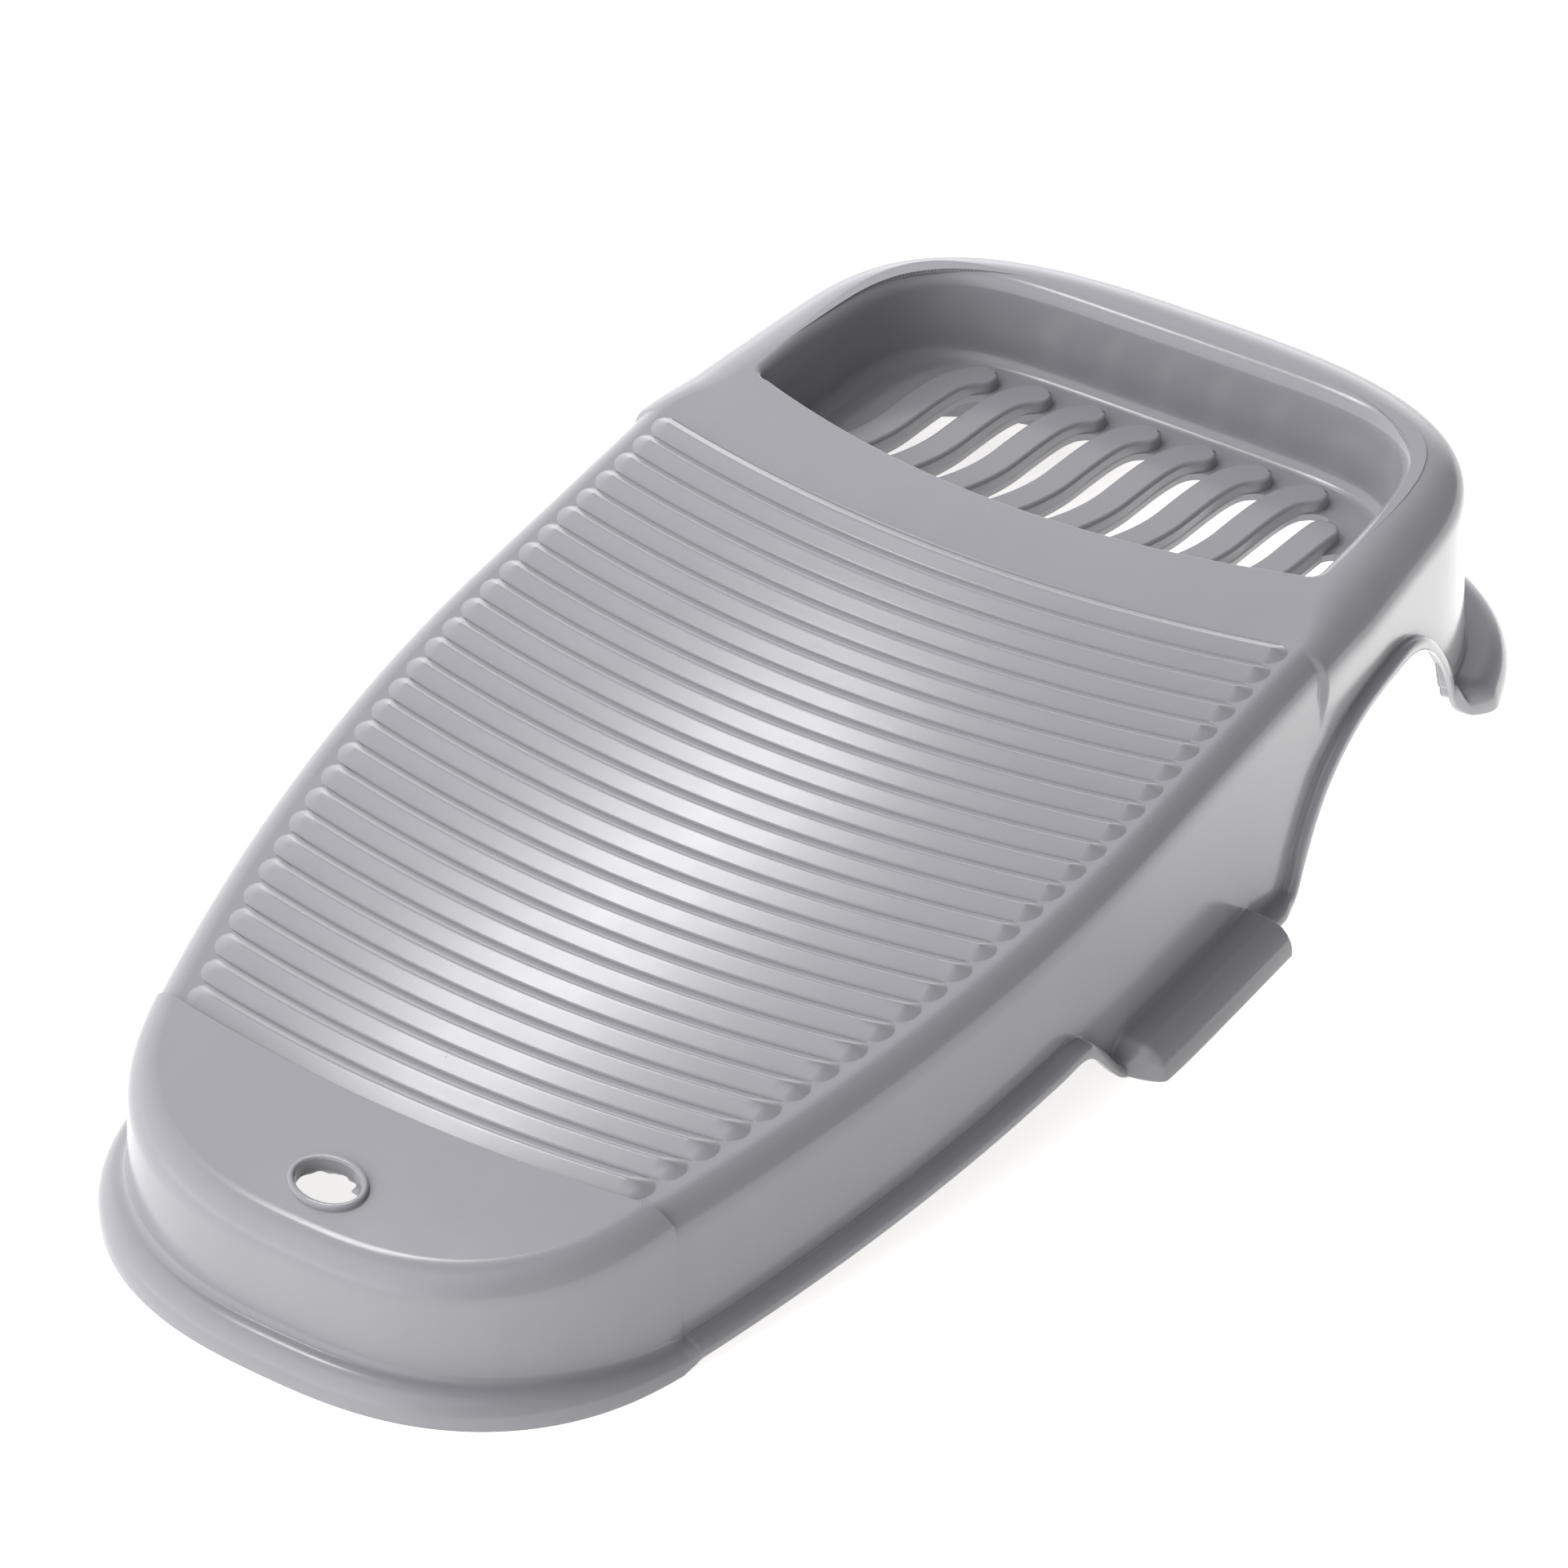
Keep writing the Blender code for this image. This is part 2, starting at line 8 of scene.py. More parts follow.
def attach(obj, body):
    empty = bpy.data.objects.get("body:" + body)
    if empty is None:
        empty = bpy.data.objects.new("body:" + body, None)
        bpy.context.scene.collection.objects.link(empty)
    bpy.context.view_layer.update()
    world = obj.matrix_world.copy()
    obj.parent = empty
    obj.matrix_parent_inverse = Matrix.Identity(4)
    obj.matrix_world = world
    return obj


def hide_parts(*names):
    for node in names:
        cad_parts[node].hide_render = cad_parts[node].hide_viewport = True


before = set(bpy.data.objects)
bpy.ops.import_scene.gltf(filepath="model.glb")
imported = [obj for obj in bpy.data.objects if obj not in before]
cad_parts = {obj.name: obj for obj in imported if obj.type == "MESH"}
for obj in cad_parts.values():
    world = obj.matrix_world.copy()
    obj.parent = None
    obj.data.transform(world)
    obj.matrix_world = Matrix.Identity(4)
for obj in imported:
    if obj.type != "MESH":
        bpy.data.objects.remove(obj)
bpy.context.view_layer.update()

MM = 0.001
WALL = 2.5
CENTRE_Y = 10.99  # y of the frame's origin
SLOPE_STEP = 0.05  # half-run for a surface's slope

# Plan outline at the top of the skirt
HALF_WIDTH = 125.2
TAPER_START = 16.0
TAPER_RUN = 192.0
TAPER_DROP = 30.0
TAPER_POWER = 1.9
NOSE_START = -192.0
NOSE_REACH = 56.5
NOSE_POWER = 2.7
HEAD_START = 112.0
HEAD_WIDER = 2.2  # the head's shoulder stands out this much
HEAD_WIDER_RUN = 2.2
WALL_WIDER_LEAD = 10.0  # the wall below starts this far ahead
WALL_WIDER_RUN = 50.0  # and follows over this run
WALL_WIDER_DROP = 16.0
HEAD_TAPER = 0.10
HEAD_EASE = 18.0
TAIL_START = 188.0
TAIL_REACH = 73.8
TAIL_POWER = 3.0
OUTLINE_STEP = 0.25
OUTLINE_SMOOTHING = 17  # points averaged to round the outline
END_POINTS = 500  # fine division of an end and of a side
SIDE_POINTS = 900
TANGENT_REACH = 4  # points to either side for the direction
TIP_POINTS = 60  # points at nose and tail that no row meets

# Heights
SLOPE = 0.084
DECK_Y0 = -184.0
DECK_Z0 = 50.0
HEAD_Z = 76.5
HEAD_SLOPE = 0.012
APRON_SLOPE = 0.20
APRON_Z0 = 52.0
APRON_DISH = 0.00005
DISH = 0.00007

# Scrub ribs
RIB_COUNT = 28
RIB_PITCH = 10.46
RIB_FIRST = -194.5
RIB_BOW = 0.00093
RIB_HEIGHT = 1.8
RIB_CREST = 0.60  # crest position within a pitch
RIB_ROUNDING = 0.10  # rounded crest's share of a facet
RIB_INSET = 15.2  # outline to the centres of the rib ends
HEAD_ROW = RIB_FIRST + RIB_COUNT * RIB_PITCH
GROOVE_DEPTH = 0.45  # fine groove along each valley
GROOVE_HALF = 0.30
GROOVE_FADE = 1.5  # run of the groove's fade past a rib's end
GROOVE_PAST = 0.05  # share of a pitch outside the field
STEP_RUN = 1.3  # the apron's step down to the first valley
APRON_ROW = RIB_FIRST - 1.1 * STEP_RUN
BAND_EASE = 24.0  # run of the head's rise from the last valley
HEAD_EDGE = HEAD_ROW + 0.8
FIELD_INSET = 16.0
FIELD_CORNER = RIB_FIRST + 9.0
FINE_ROWS = np.array([0.0, 0.14, 0.28, 0.5, 0.8])
FACET_SHARES = np.linspace(0.11, 0.9, 19)
STEP_ROWS = 12
END_COLUMNS = 19
MIDDLE_COLUMNS = 33

# Shoulder and skirt
ROLL_WIDTH = 9.5
ROLL_DROP = 12.0
HEAD_ROLL_WIDTH = 16.0
HEAD_ROLL_DROP = 14.0
HEAD_ROLL_EASE = 30.0  # run of its widening at the head
ROLL_POWER = 2.15
DRAFT = 0.06
ROLL_ANGLES = np.radians(np.linspace(0.0, 90.0, 15))
INNER_ROLL_ANGLES = np.radians(np.linspace(15.0, 90.0, 6))
WALL_ROWS = 7
INNER_WALL_ROWS = 3
SKIRT_OUTER = 23  # profile points of the skirt, outside
SKIRT_INNER = 11  # and inside
STATION_STEP = 0.3  # profile spacing at a mark, and its growth
STATION_GROWTH = 1.3
STATION_SPREAD = 14.0

# Flange, lips and ledges: reach outwards, height of the top
FLANGE = (6.5, 3.8)
FRONT_LIP = (10.5, 9.5)
FRONT_LIP_END_REACH = 6.0
REAR_LIP = (15.0, 9.5)
LEDGE = (17.0, 10.5)
ARCH_TRIM = 2.3  # flange's narrowing along the tall arch
ARCH_TRIM_RUN = 12.0
CORNER_ANGLES = np.radians(np.linspace(0.0, 90.0, 8))
CORNER_SHARES = (0.62, 0.82)  # of the reach, on the sides and in front
CORNER_CLEAR = 1.0
CREASE_ANGLES = np.radians(np.linspace(0.0, 90.0, 5))
CREASE = 0.6  # radius where the wall meets the flange
CREASE_MORE = (1.8, 1.2, 0.6)  # added in front, at the rear and at the ledges
STEEPEST = 3.0  # most that a steep edge thickens the flange
LEAST_FLAT = 0.3
LEAST_SIDE = 0.4
LEAST_RIM = 0.5
RIM_SHARE = 0.4  # rim's largest share of the reach
LIP_EASE = 40.0  # run of the front lip's fall to its ends
LIP_END_HEIGHT = 6.3
FRONT_LIP_END = -189.0
FRONT_LIP_PAST = 5.0  # how far its form may run past its end
LIP_SPREAD = 92.0
LIP_POWER = 5
LEDGE_FRONT = -12.0
LEDGE_REAR = 70.0
LEDGE_EASE = (6.0, 5.0)  # run of a ledge's front and rear ends
REAR_LIP_START = 200.0
REAR_LIP_EASE = 9.0

# Arches in the skirt's bottom edge
EDGE_START = 2.5
EDGE_RISE = 0.109
LOW_ARCH_RISE = -46.0
LOW_ARCH_TOP = -33.0
LOW_ARCH_EXTRA = 1.6
LOW_ARCH_END = -11.0
ARCH_START = 90.0
ARCH_TOP = 158.0
ARCH_HEIGHT = 47.0
ARCH_POWER = 3.2
ARCH_FALL = 42.0
ARCH_FALL_POWER = 0.7
ARCH_LEG = 190.0  # steep end of the tall arch
EDGE_SOFTENING = 3.0  # reach of the average that rounds its corners
EDGE_SAMPLES = 13
GROUND_RUN = 4.0

# Hanging hole
HOLE_Y = -226.0
HOLE_HALF = (12.6, 9.0)
HOLE_WALL = 2.0
HOLE_DEPTH = 3.0  # tube below the apron's surface
HOLE_RIM = 1.6
HOLE_POINTS = 128
FLASH_HEIGHT = 0.25
APRON_END_RUNS = (40.0, 160.0)
APRON_POINTS = 360
APRON_RINGS = 26

# Soap tray
TRAY_FRONT = 127.0
TRAY_FRONT_BOW = 0.0018
TRAY_HALF = 104.0
TRAY_CENTRE = 140.0
TRAY_REACH = 101.0
TRAY_POWER = 5.5
TRAY_FLOOR = 46.0
TRAY_CORNER = 7.0
TRAY_WALL_FOOT = 5.0  # inset of the wall's foot
TRAY_FILLET = 5.0
TRAY_EDGE = 6.0  # rounding of the opening's sides and rear
TRAY_SHIFT = 4.2  # the wall stands this far inside the rounded edge's middle
TRAY_FRONT_EDGE = 1.0  # rounding of the opening's front
TRAY_INSETS = np.linspace(-6.0, 12.0, 37)
FRONT_POINTS = 40
CORNER_POINTS = 10
TRAY_SIDE_POINTS = 60
EASE_POINTS = 8  # points over which the rounding grows
FLOOR_OVERLAP = 0.02
CUTTER_REACH = 10.0
HEAD_CENTRE = 40.0  # centre of the head's rings, behind the tray's
HEAD_POINTS = 520
HEAD_RINGS = 28
LEAST_TURN = 2e-4
EVEN_SHARE = 0.4  # how evenly a plate's rings are spaced
SEARCH_POINTS = 4000
SLAT_COUNT = 8
SLAT_PITCH = 20.7
SLAT_FIRST = -63.4
SLAT_HALF = 5.4
SLAT_HEIGHT = 4.2
SLAT_ROUNDING = 1.3
SLAT_FRONT = 136.0
SLAT_REAR = 220.5
LAST_SLAT_REAR = 204.5
SLAT_HOOK = 7.4  # sideways reach of the hook at a slat's rear end
SLAT_HOOK_RUN = 6.0
SLAT_SLANT = 0.06
SLAT_BEND_START = 184.0
SLAT_BEND = 0.009
SLAT_POINTS = 100
SLOT_LEDGE = 0.3  # floor left between a slat's side and the slot
SLOT_FRONT = 146.0
SLOT_REAR = 213.5  # y where a slot's rounded rear end begins
LAST_SLOT_REAR = 196.5
SLOT_TRIM = 0.1
SLOT_END_LEAN = 0.5
SLOT_POINTS = 40

# Plastic: look, name, roughness and stretch of the streaks
GREY = (0.300, 0.298, 0.318)
PLASTICS = (
    ("field", "ribbed_plastic", 0.17, (5.0, 90.0, 90.0)),
    ("smooth", "smooth_plastic", 0.12, (70.0, 6.0, 70.0)),
    ("skirt", "skirt_plastic", 0.17, (60.0, 60.0, 6.0)),
    ("edge", "edge_plastic", 0.17, (60.0, 60.0, 10.0)),
    ("tray", "tray_plastic", 0.17, (60.0, 8.0, 60.0)),
)
MOTTLE_SCALE = 14.0
MOTTLE_RANGE = (0.985, 1.01)
STREAK_RANGE = (-0.012, 0.014)
SPECK_SCALE = 110.0
SPECK_CHOICE = 0.93  # cells above this have a speck
SPECK_EDGE = (0.018, 0.034)
SPECK_TINT = 0.55
POLISH_SCALE = 60.0
WAVE_SCALE = 9.0
PEEL_SCALE = 400.0
BUMP_HEIGHT = 0.0005

# Stage, in metres
FLOOR_REACH = 6.0
GLOW_CENTRE = (0.18, 0.24, 0.0)
GLOW_RUN = (0.04, 0.22)
GLOW = (2.0, 0.7)  # at the centre and beyond the run
LEFT_LIGHT = 1.8
FRONT_LIGHT = 1.9
REAR_LIGHT = 2.2
HORIZON_LIGHT = 0.6
BASE_LIGHT = 0.20


# ---- curves

def smooth(t):
    """Rises from 0 to 1, level at both ends."""
    t = np.clip(t, 0.0, 1.0)
    return t * t * (3.0 - 2.0 * t)


def rise_of(t):
    """Rises from 0 to 1 like a quarter of a sine wave."""
    return np.sin(np.clip(t, 0.0, 1.0) * math.pi / 2.0)


def mix(low, high, share):
    return low + (high - low) * share


def unit(vectors):
    return vectors / np.hypot(*vectors.T)[:, None]


def points_at(at, run, line):
    """Points of a line at given values of the run along it."""
    return np.stack([np.interp(at, run, line[:, i]) for i in (0, 1)], -1)


def side_half(y):
    """Half-width of the outline at y, away from its rounded ends."""
    back = np.maximum(TAPER_START - y, 0.0) / TAPER_RUN
    past = np.maximum(y - HEAD_START, 0.0)
    narrower = HEAD_TAPER * (np.hypot(past, HEAD_EASE) - HEAD_EASE)
    return HALF_WIDTH - TAPER_DROP * back ** TAPER_POWER - narrower


def rounded_end(half, start, reach, power, angles):
    """Quarter of a rounded box, whose half-width at y is half(y)."""
    y = start + reach * np.sin(angles) ** (2.0 / power)
    return np.stack([half(y) * np.maximum(np.cos(angles), 0.0) ** (2.0 / power), y], -1)


def make_outline():
    """The closed outline from the nose tip up the right side and back down the left side."""
    angles = np.radians(np.linspace(90.0, 0.0, END_POINTS))
    nose = rounded_end(side_half, NOSE_START, -NOSE_REACH, NOSE_POWER, angles)
    side_y = np.linspace(NOSE_START, TAIL_START, SIDE_POINTS)[1:-1]
    side = np.stack([side_half(side_y), side_y], -1)
    tail = rounded_end(side_half, TAIL_START, TAIL_REACH, TAIL_POWER, angles[::-1])
    right = np.vstack([nose, side, tail])
    loop = np.vstack([right, right[-2:0:-1] * (-1.0, 1.0), right[:1]])
    run = np.concatenate([[0.0], np.cumsum(np.hypot(*np.diff(loop, axis=0).T))])
    count = 2 * int(run[-1] / OUTLINE_STEP / 2.0)
    even = np.arange(count) * run[-1] / count
    loop = points_at(even, run, loop)
    reach = OUTLINE_SMOOTHING // 2
    loop = sum(np.roll(loop, k, axis=0) for k in range(-reach, reach + 1)) / OUTLINE_SMOOTHING
    tangent = unit(np.roll(loop, -TANGENT_REACH, axis=0) - np.roll(loop, TANGENT_REACH, axis=0))
    return run[-1], loop, np.stack([tangent[:, 1], -tangent[:, 0]], -1)


LENGTH, LOOP, NORMALS = make_outline()
HALF_LENGTH = LENGTH / 2.0


def along(values, s):
    """Values given at the outline's points, at runs s."""
    at = np.mod(s, LENGTH) / LENGTH * len(values)
    low = np.floor(at).astype(int)
    share = (at - low)[..., None]
    return values[low % len(values)] * (1.0 - share) + values[(low + 1) % len(values)] * share


def run_at(y):
    """Run along the right side where the outline passes y, away from the rounded ends."""
    half = len(LOOP) // 2
    return float(np.interp(y, LOOP[:half, 1], np.arange(half) * LENGTH / len(LOOP)))


# ---- heights

def row_of(x, y):
    """y of the row through a point, where the row crosses the centre line."""
    return y - RIB_BOW * x * x


def deck_height(x, y):
    return DECK_Z0 + SLOPE * (y - DECK_Y0) + DISH * x * x


def apron_height(x, y):
    return APRON_Z0 + APRON_SLOPE * (row_of(x, y) - RIB_FIRST) + APRON_DISH * x * x


def head_height(x, y):
    """The nearly level head, eased down to the last valley at its front."""
    plane = HEAD_Z + HEAD_SLOPE * (y - HEAD_START)
    front = HEAD_ROW + RIB_BOW * x * x
    rise = HEAD_Z + HEAD_SLOPE * (front - HEAD_START) - deck_height(x, front)
    left = 1.0 - np.clip((row_of(x, y) - HEAD_ROW) / BAND_EASE, 0.0, 1.0)
    return plane - rise * left * left


def blend_heights(row, apron, deck, head):
    front = smooth((RIB_FIRST - row) / STEP_RUN)
    return np.where(row > HEAD_ROW, head, deck + (apron - deck) * front)


def top_height(x, y):
    return blend_heights(row_of(x, y), apron_height(x, y), deck_height(x, y), head_height(x, y))


def rib_end(number):
    """Half-width to the centre of the rounded end of a rib."""
    return min(point_on_row(RIB_FIRST + (number + k) * RIB_PITCH, RIB_INSET)[0] for k in (0, 1))


def point_on_row(row, inset):
    """Right-hand point inside the outline by inset, on the bowed row."""
    side = slice(TIP_POINTS, len(LOOP) // 2 - TIP_POINTS)
    inside = LOOP[side] - inset * NORMALS[side]
    x = np.interp(row, row_of(*inside.T), inside[:, 0])
    return x, row + RIB_BOW * x * x


def rib_height(x, row, ends):
    """Height of the ribs over the valleys: straight facets that end in half cones."""
    radius = RIB_PITCH / 2.0
    place = (row - RIB_FIRST) / RIB_PITCH
    number = np.clip(np.floor(place).astype(int), 0, RIB_COUNT - 1)
    share = place - number
    lean = (RIB_CREST - 0.5) * RIB_PITCH
    beyond = np.maximum(np.abs(x) - ends[number], 0.0)
    across = (share - RIB_CREST) * RIB_PITCH
    dot = across * lean
    room = radius * radius - lean * lean
    level = (dot + np.sqrt(dot * dot + room * (beyond ** 2 + across ** 2))) / room
    rounded = 1.0 - RIB_ROUNDING / 2.0 - level ** 2 / (2.0 * RIB_ROUNDING)
    height = RIB_HEIGHT * np.where(level < RIB_ROUNDING, rounded, np.maximum(1.0 - level, 0.0))
    height = np.where((row > RIB_FIRST) & (row < HEAD_ROW), height, 0.0)
    valley = np.abs(place - np.round(place)) * RIB_PITCH
    groove = GROOVE_DEPTH * np.exp(-(valley / GROOVE_HALF) ** 2) * (1.0 - smooth(beyond / GROOVE_FADE))
    near = (place > -GROOVE_PAST) & (place < RIB_COUNT + GROOVE_PAST)
    return height - np.where(near, groove, 0.0)


def edge_height(y):
    """Height of the skirt's bottom edge: a rising line, a low arch, ground and a tall arch."""
    rising = EDGE_START + EDGE_RISE * (np.minimum(y, LOW_ARCH_RISE) - FRONT_LIP_END)
    rising += LOW_ARCH_EXTRA * smooth((y - LOW_ARCH_RISE) / (LOW_ARCH_TOP - LOW_ARCH_RISE))
    rising *= 1.0 - smooth((y - LOW_ARCH_TOP) / (LOW_ARCH_END - LOW_ARCH_TOP))
    left = np.clip(1.0 - (y - ARCH_START) / (ARCH_TOP - ARCH_START), 0.0, 1.0)
    climb = ARCH_HEIGHT * (1.0 - left ** ARCH_POWER)
    past = np.clip((y - ARCH_TOP) / ARCH_FALL, 0.0, 1.0)
    fall = ARCH_HEIGHT * (1.0 - past ** 2) ** ARCH_FALL_POWER
    tall = np.where(y < ARCH_TOP, climb, fall)
    height = np.where(y < ARCH_START, rising, tall)
    return np.where((y < FRONT_LIP_END) | (y > ARCH_TOP + ARCH_FALL), 0.0, height)


# ---- meshes

def grid_normals(grid, wrap_rows=False, wrap_columns=False):
    """Unit normals of a grid of points, rows by columns."""
    def step(values, axis, wrap):
        if wrap:
            return np.roll(values, -1, axis) - np.roll(values, 1, axis)
        return np.gradient(values, axis=axis)
    normals = np.cross(step(grid, 0, wrap_rows), step(grid, 1, wrap_columns))
    return normals / np.maximum(np.linalg.norm(normals, axis=-1, keepdims=True), 1e-9)


def surface_normals(height, x, y):
    """Unit normals of the surface z = height(x, y)."""
    step = SLOPE_STEP
    slope_x = (height(x + step, y) - height(x - step, y)) / (2.0 * step)
    slope_y = (height(x, y + step) - height(x, y - step)) / (2.0 * step)
    normals = np.stack([-slope_x, -slope_y, np.ones_like(slope_x)], -1)
    return normals / np.linalg.norm(normals, axis=-1, keepdims=True)


def put_in_scene(name, data):
    made = bpy.data.objects.new(name, data)
    bpy.context.scene.collection.objects.link(made)
    return made


def new_mesh(name, points, faces):
    """Mesh of the given faces, turned over if its volume comes out below zero."""
    mesh = bpy.data.meshes.new(name)
    mesh.from_pydata(points, [], faces)
    mesh.calc_loop_triangles()
    points = np.array([v.co for v in mesh.vertices])
    a, b, c = points[np.array([t.vertices for t in mesh.loop_triangles])].transpose(1, 0, 2)
    if np.sum(a * np.cross(b, c)) < 0.0:
        mesh.flip_normals()
    return mesh


class Body:
    """Points, faces and corner normals of one piece."""

    def __init__(self):
        self.points = []
        self.normals = []
        self.faces = []
        self.shaded = []
        self.count = 0

    def add(self, grid, normals=None):
        """Adds a grid of points and gives back their numbers."""
        flat = grid.reshape(-1, 3)
        if normals is None:
            normals = np.zeros_like(grid)
        self.points.append(flat)
        self.normals.append(normals.reshape(-1, 3))
        numbers = np.arange(self.count, self.count + len(flat)).reshape(grid.shape[:-1])
        self.count += len(flat)
        return numbers

    def quads(self, numbers, shaded=True, flip=False, wrap_rows=False, wrap_columns=False):
        """Faces between the neighbours of a grid of point numbers."""
        if wrap_rows:
            numbers = np.vstack([numbers, numbers[:1]])
        if wrap_columns:
            numbers = np.hstack([numbers, numbers[:, :1]])
        a, b = numbers[:-1, :-1], numbers[1:, :-1]
        c, d = numbers[1:, 1:], numbers[:-1, 1:]
        quads = np.stack([a, b, c, d], -1).reshape(-1, 4)
        if flip:
            quads = quads[:, ::-1]
        self.faces.extend(quads.tolist())
        self.shaded.extend([shaded] * len(quads))

    def face(self, numbers):
        self.faces.append([int(n) for n in numbers])
        self.shaded.append(False)

    def cap(self, ring, outside, flip=False):
        """Closes a profile with a zigzag between its outside and its inside points."""
        out, back = list(ring[:outside]), list(ring[outside:])[::-1]
        i = j = 0
        while i < len(out) - 1 or j < len(back) - 1:
            ahead = (i + 1) * (len(back) - 1) <= (j + 1) * (len(out) - 1)
            if j == len(back) - 1 or (i < len(out) - 1 and ahead):
                corner = [out[i], out[i + 1], back[j]]
                i += 1
            else:
                corner = [out[i], back[j + 1], back[j]]
                j += 1
            self.face(corner[::-1] if flip else corner)

    def strip(self, dense, coarse, flip=False):
        """Joins a finely divided edge to one that has every n-th of its points."""
        every = (len(dense) - 1) // (len(coarse) - 1)
        for i in range(len(coarse) - 1):
            top = [int(n) for n in dense[i * every:(i + 1) * every + 1]]
            ring = top + [int(coarse[i + 1]), int(coarse[i])]
            self.face(ring[::-1] if flip else ring)

    def add_closed(self, grid, normals):
        """Adds a grid that closes both ways, with its faces."""
        self.quads(self.add(grid, normals), wrap_rows=True, wrap_columns=True)

    def build(self, name, nodes, slot, material):
        """Makes the mesh; faces that aren't shaded are flat."""
        points = np.vstack(self.points)
        points[:, 1] -= CENTRE_Y
        mesh = new_mesh(name, (points * MM).tolist(), self.faces)
        mesh.shade_smooth()
        edge_of = np.zeros(len(mesh.loops), dtype=int)
        mesh.loops.foreach_get("edge_index", edge_of)
        sharp = np.zeros(len(mesh.edges), dtype=bool)
        normals = np.vstack(self.normals)
        corner = []
        for polygon, smooth_face in zip(mesh.polygons, self.shaded):
            if not smooth_face:
                sharp[edge_of[polygon.loop_indices]] = True
            flat = np.array(polygon.normal)
            for n in polygon.vertices:
                known = smooth_face and normals[n].any()
                turned = 1.0 if normals[n] @ flat > 0.0 else -1.0
                corner.append(normals[n] * turned if known else flat)
        mesh.edges.foreach_set("use_edge_sharp", sharp)
        mesh.normals_split_custom_set(corner)
        mesh.materials.append(material)
        finish_piece(put_in_scene(name, mesh), nodes, slot)


def finish_piece(made, nodes, slot):
    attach(made, "root")
    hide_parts(*nodes)


# ---- perimeter

def flange_sizes(point, edge):
    """Reach, height, corner radius and crease radius of the out-turned edge."""
    x, y = point[:, 0], point[:, 1]
    narrowed = np.minimum(np.abs(x) / LIP_SPREAD, 1.0) ** LIP_POWER
    front_reach = mix(FRONT_LIP[0], FRONT_LIP_END_REACH, narrowed)
    lifted = np.clip(edge / EDGE_START, 0.0, 1.0)
    front = np.where(y < FRONT_LIP_END + FRONT_LIP_PAST, 1.0 - lifted, 0.0)
    front_height = mix(LIP_END_HEIGHT, FRONT_LIP[1], smooth((FRONT_LIP_END - y) / LIP_EASE))
    ledge = rise_of((y - LEDGE_FRONT) / LEDGE_EASE[0]) * rise_of((LEDGE_REAR - y) / LEDGE_EASE[1])
    rear = rise_of((y - REAR_LIP_START) / REAR_LIP_EASE)
    trimmed = ARCH_TRIM * smooth((y - ARCH_START + ARCH_TRIM_RUN) / ARCH_TRIM_RUN) * (1.0 - rear)
    reach = FLANGE[0] - trimmed + (front_reach - FLANGE[0]) * front
    height = mix(FLANGE[1], front_height, front)
    for share, (far, tall) in ((ledge, LEDGE), (rear, REAR_LIP)):
        reach += (far - FLANGE[0]) * share
        height += (tall - FLANGE[1]) * share
    corner = np.minimum(mix(*CORNER_SHARES, front) * reach, height - CORNER_CLEAR)
    more = sum(extra * share for extra, share in zip(CREASE_MORE, (front, rear, ledge)))
    return reach, height, corner, CREASE + more


def edges_at(s):
    """Height of the bottom edge at runs s, with its corners rounded."""
    shifts = np.linspace(-EDGE_SOFTENING, EDGE_SOFTENING, EDGE_SAMPLES)
    total = sum(edge_height(along(LOOP, s + shift)[:, 1]) for shift in shifts)
    grounded = smooth((along(LOOP, s)[:, 1] - REAR_LIP_START) / GROUND_RUN)
    return np.maximum(total / len(shifts), 0.0) * (1.0 - grounded)


def shoulder_at(s):
    """Outline point, outward direction and the shoulder's width and drop."""
    point, normal = along(LOOP, s), along(NORMALS, s)
    ease = smooth((point[:, 1] - HEAD_START) / HEAD_ROLL_EASE)
    return point, normal, mix(ROLL_WIDTH, HEAD_ROLL_WIDTH, ease), mix(ROLL_DROP, HEAD_ROLL_DROP, ease)


def shoulder_edge(s):
    """The shoulder's inner edge at runs s."""
    point, normal, width, _ = shoulder_at(s)
    return point - normal * width[:, None]


def head_step(point, lead, run):
    """Share of the head's step, which starts a lead before the head and takes a run."""
    return smooth((point[:, 1] - HEAD_START + lead) / run)


def stand_out(point, drop):
    """How far the head's wall stands out: a step at the shoulder that fades on the way down."""
    sharp = head_step(point, HEAD_WIDER_RUN, HEAD_WIDER_RUN)
    gentle = head_step(point, WALL_WIDER_LEAD, WALL_WIDER_RUN)
    return HEAD_WIDER * mix(sharp, gentle, smooth(drop / WALL_WIDER_DROP))


def roll_points(s, share, fall):
    """Points on the shoulder for one share of its width and its fall."""
    point, normal, width, drop = shoulder_at(s)
    wider = HEAD_WIDER * head_step(point, HEAD_WIDER_RUN, HEAD_WIDER_RUN)
    here = point + normal * (-width + width * share + wider * smooth(share))[:, None]
    inner = point - normal * width[:, None]
    surfaces = []
    for height in (apron_height, deck_height, head_height):
        lost = height(*inner.T) - height(*point.T)
        surfaces.append(height(*here.T) - (drop - lost) * fall)
    return np.column_stack([here, blend_heights(row_of(*here.T), *surfaces)])


def wall_placer(point, normal, shoulder):
    """Gives a function for points of the wall at an offset and a height."""
    def at(offset, z):
        return np.column_stack([point + normal * (stand_out(point, shoulder - z) + offset)[:, None], z])
    return at


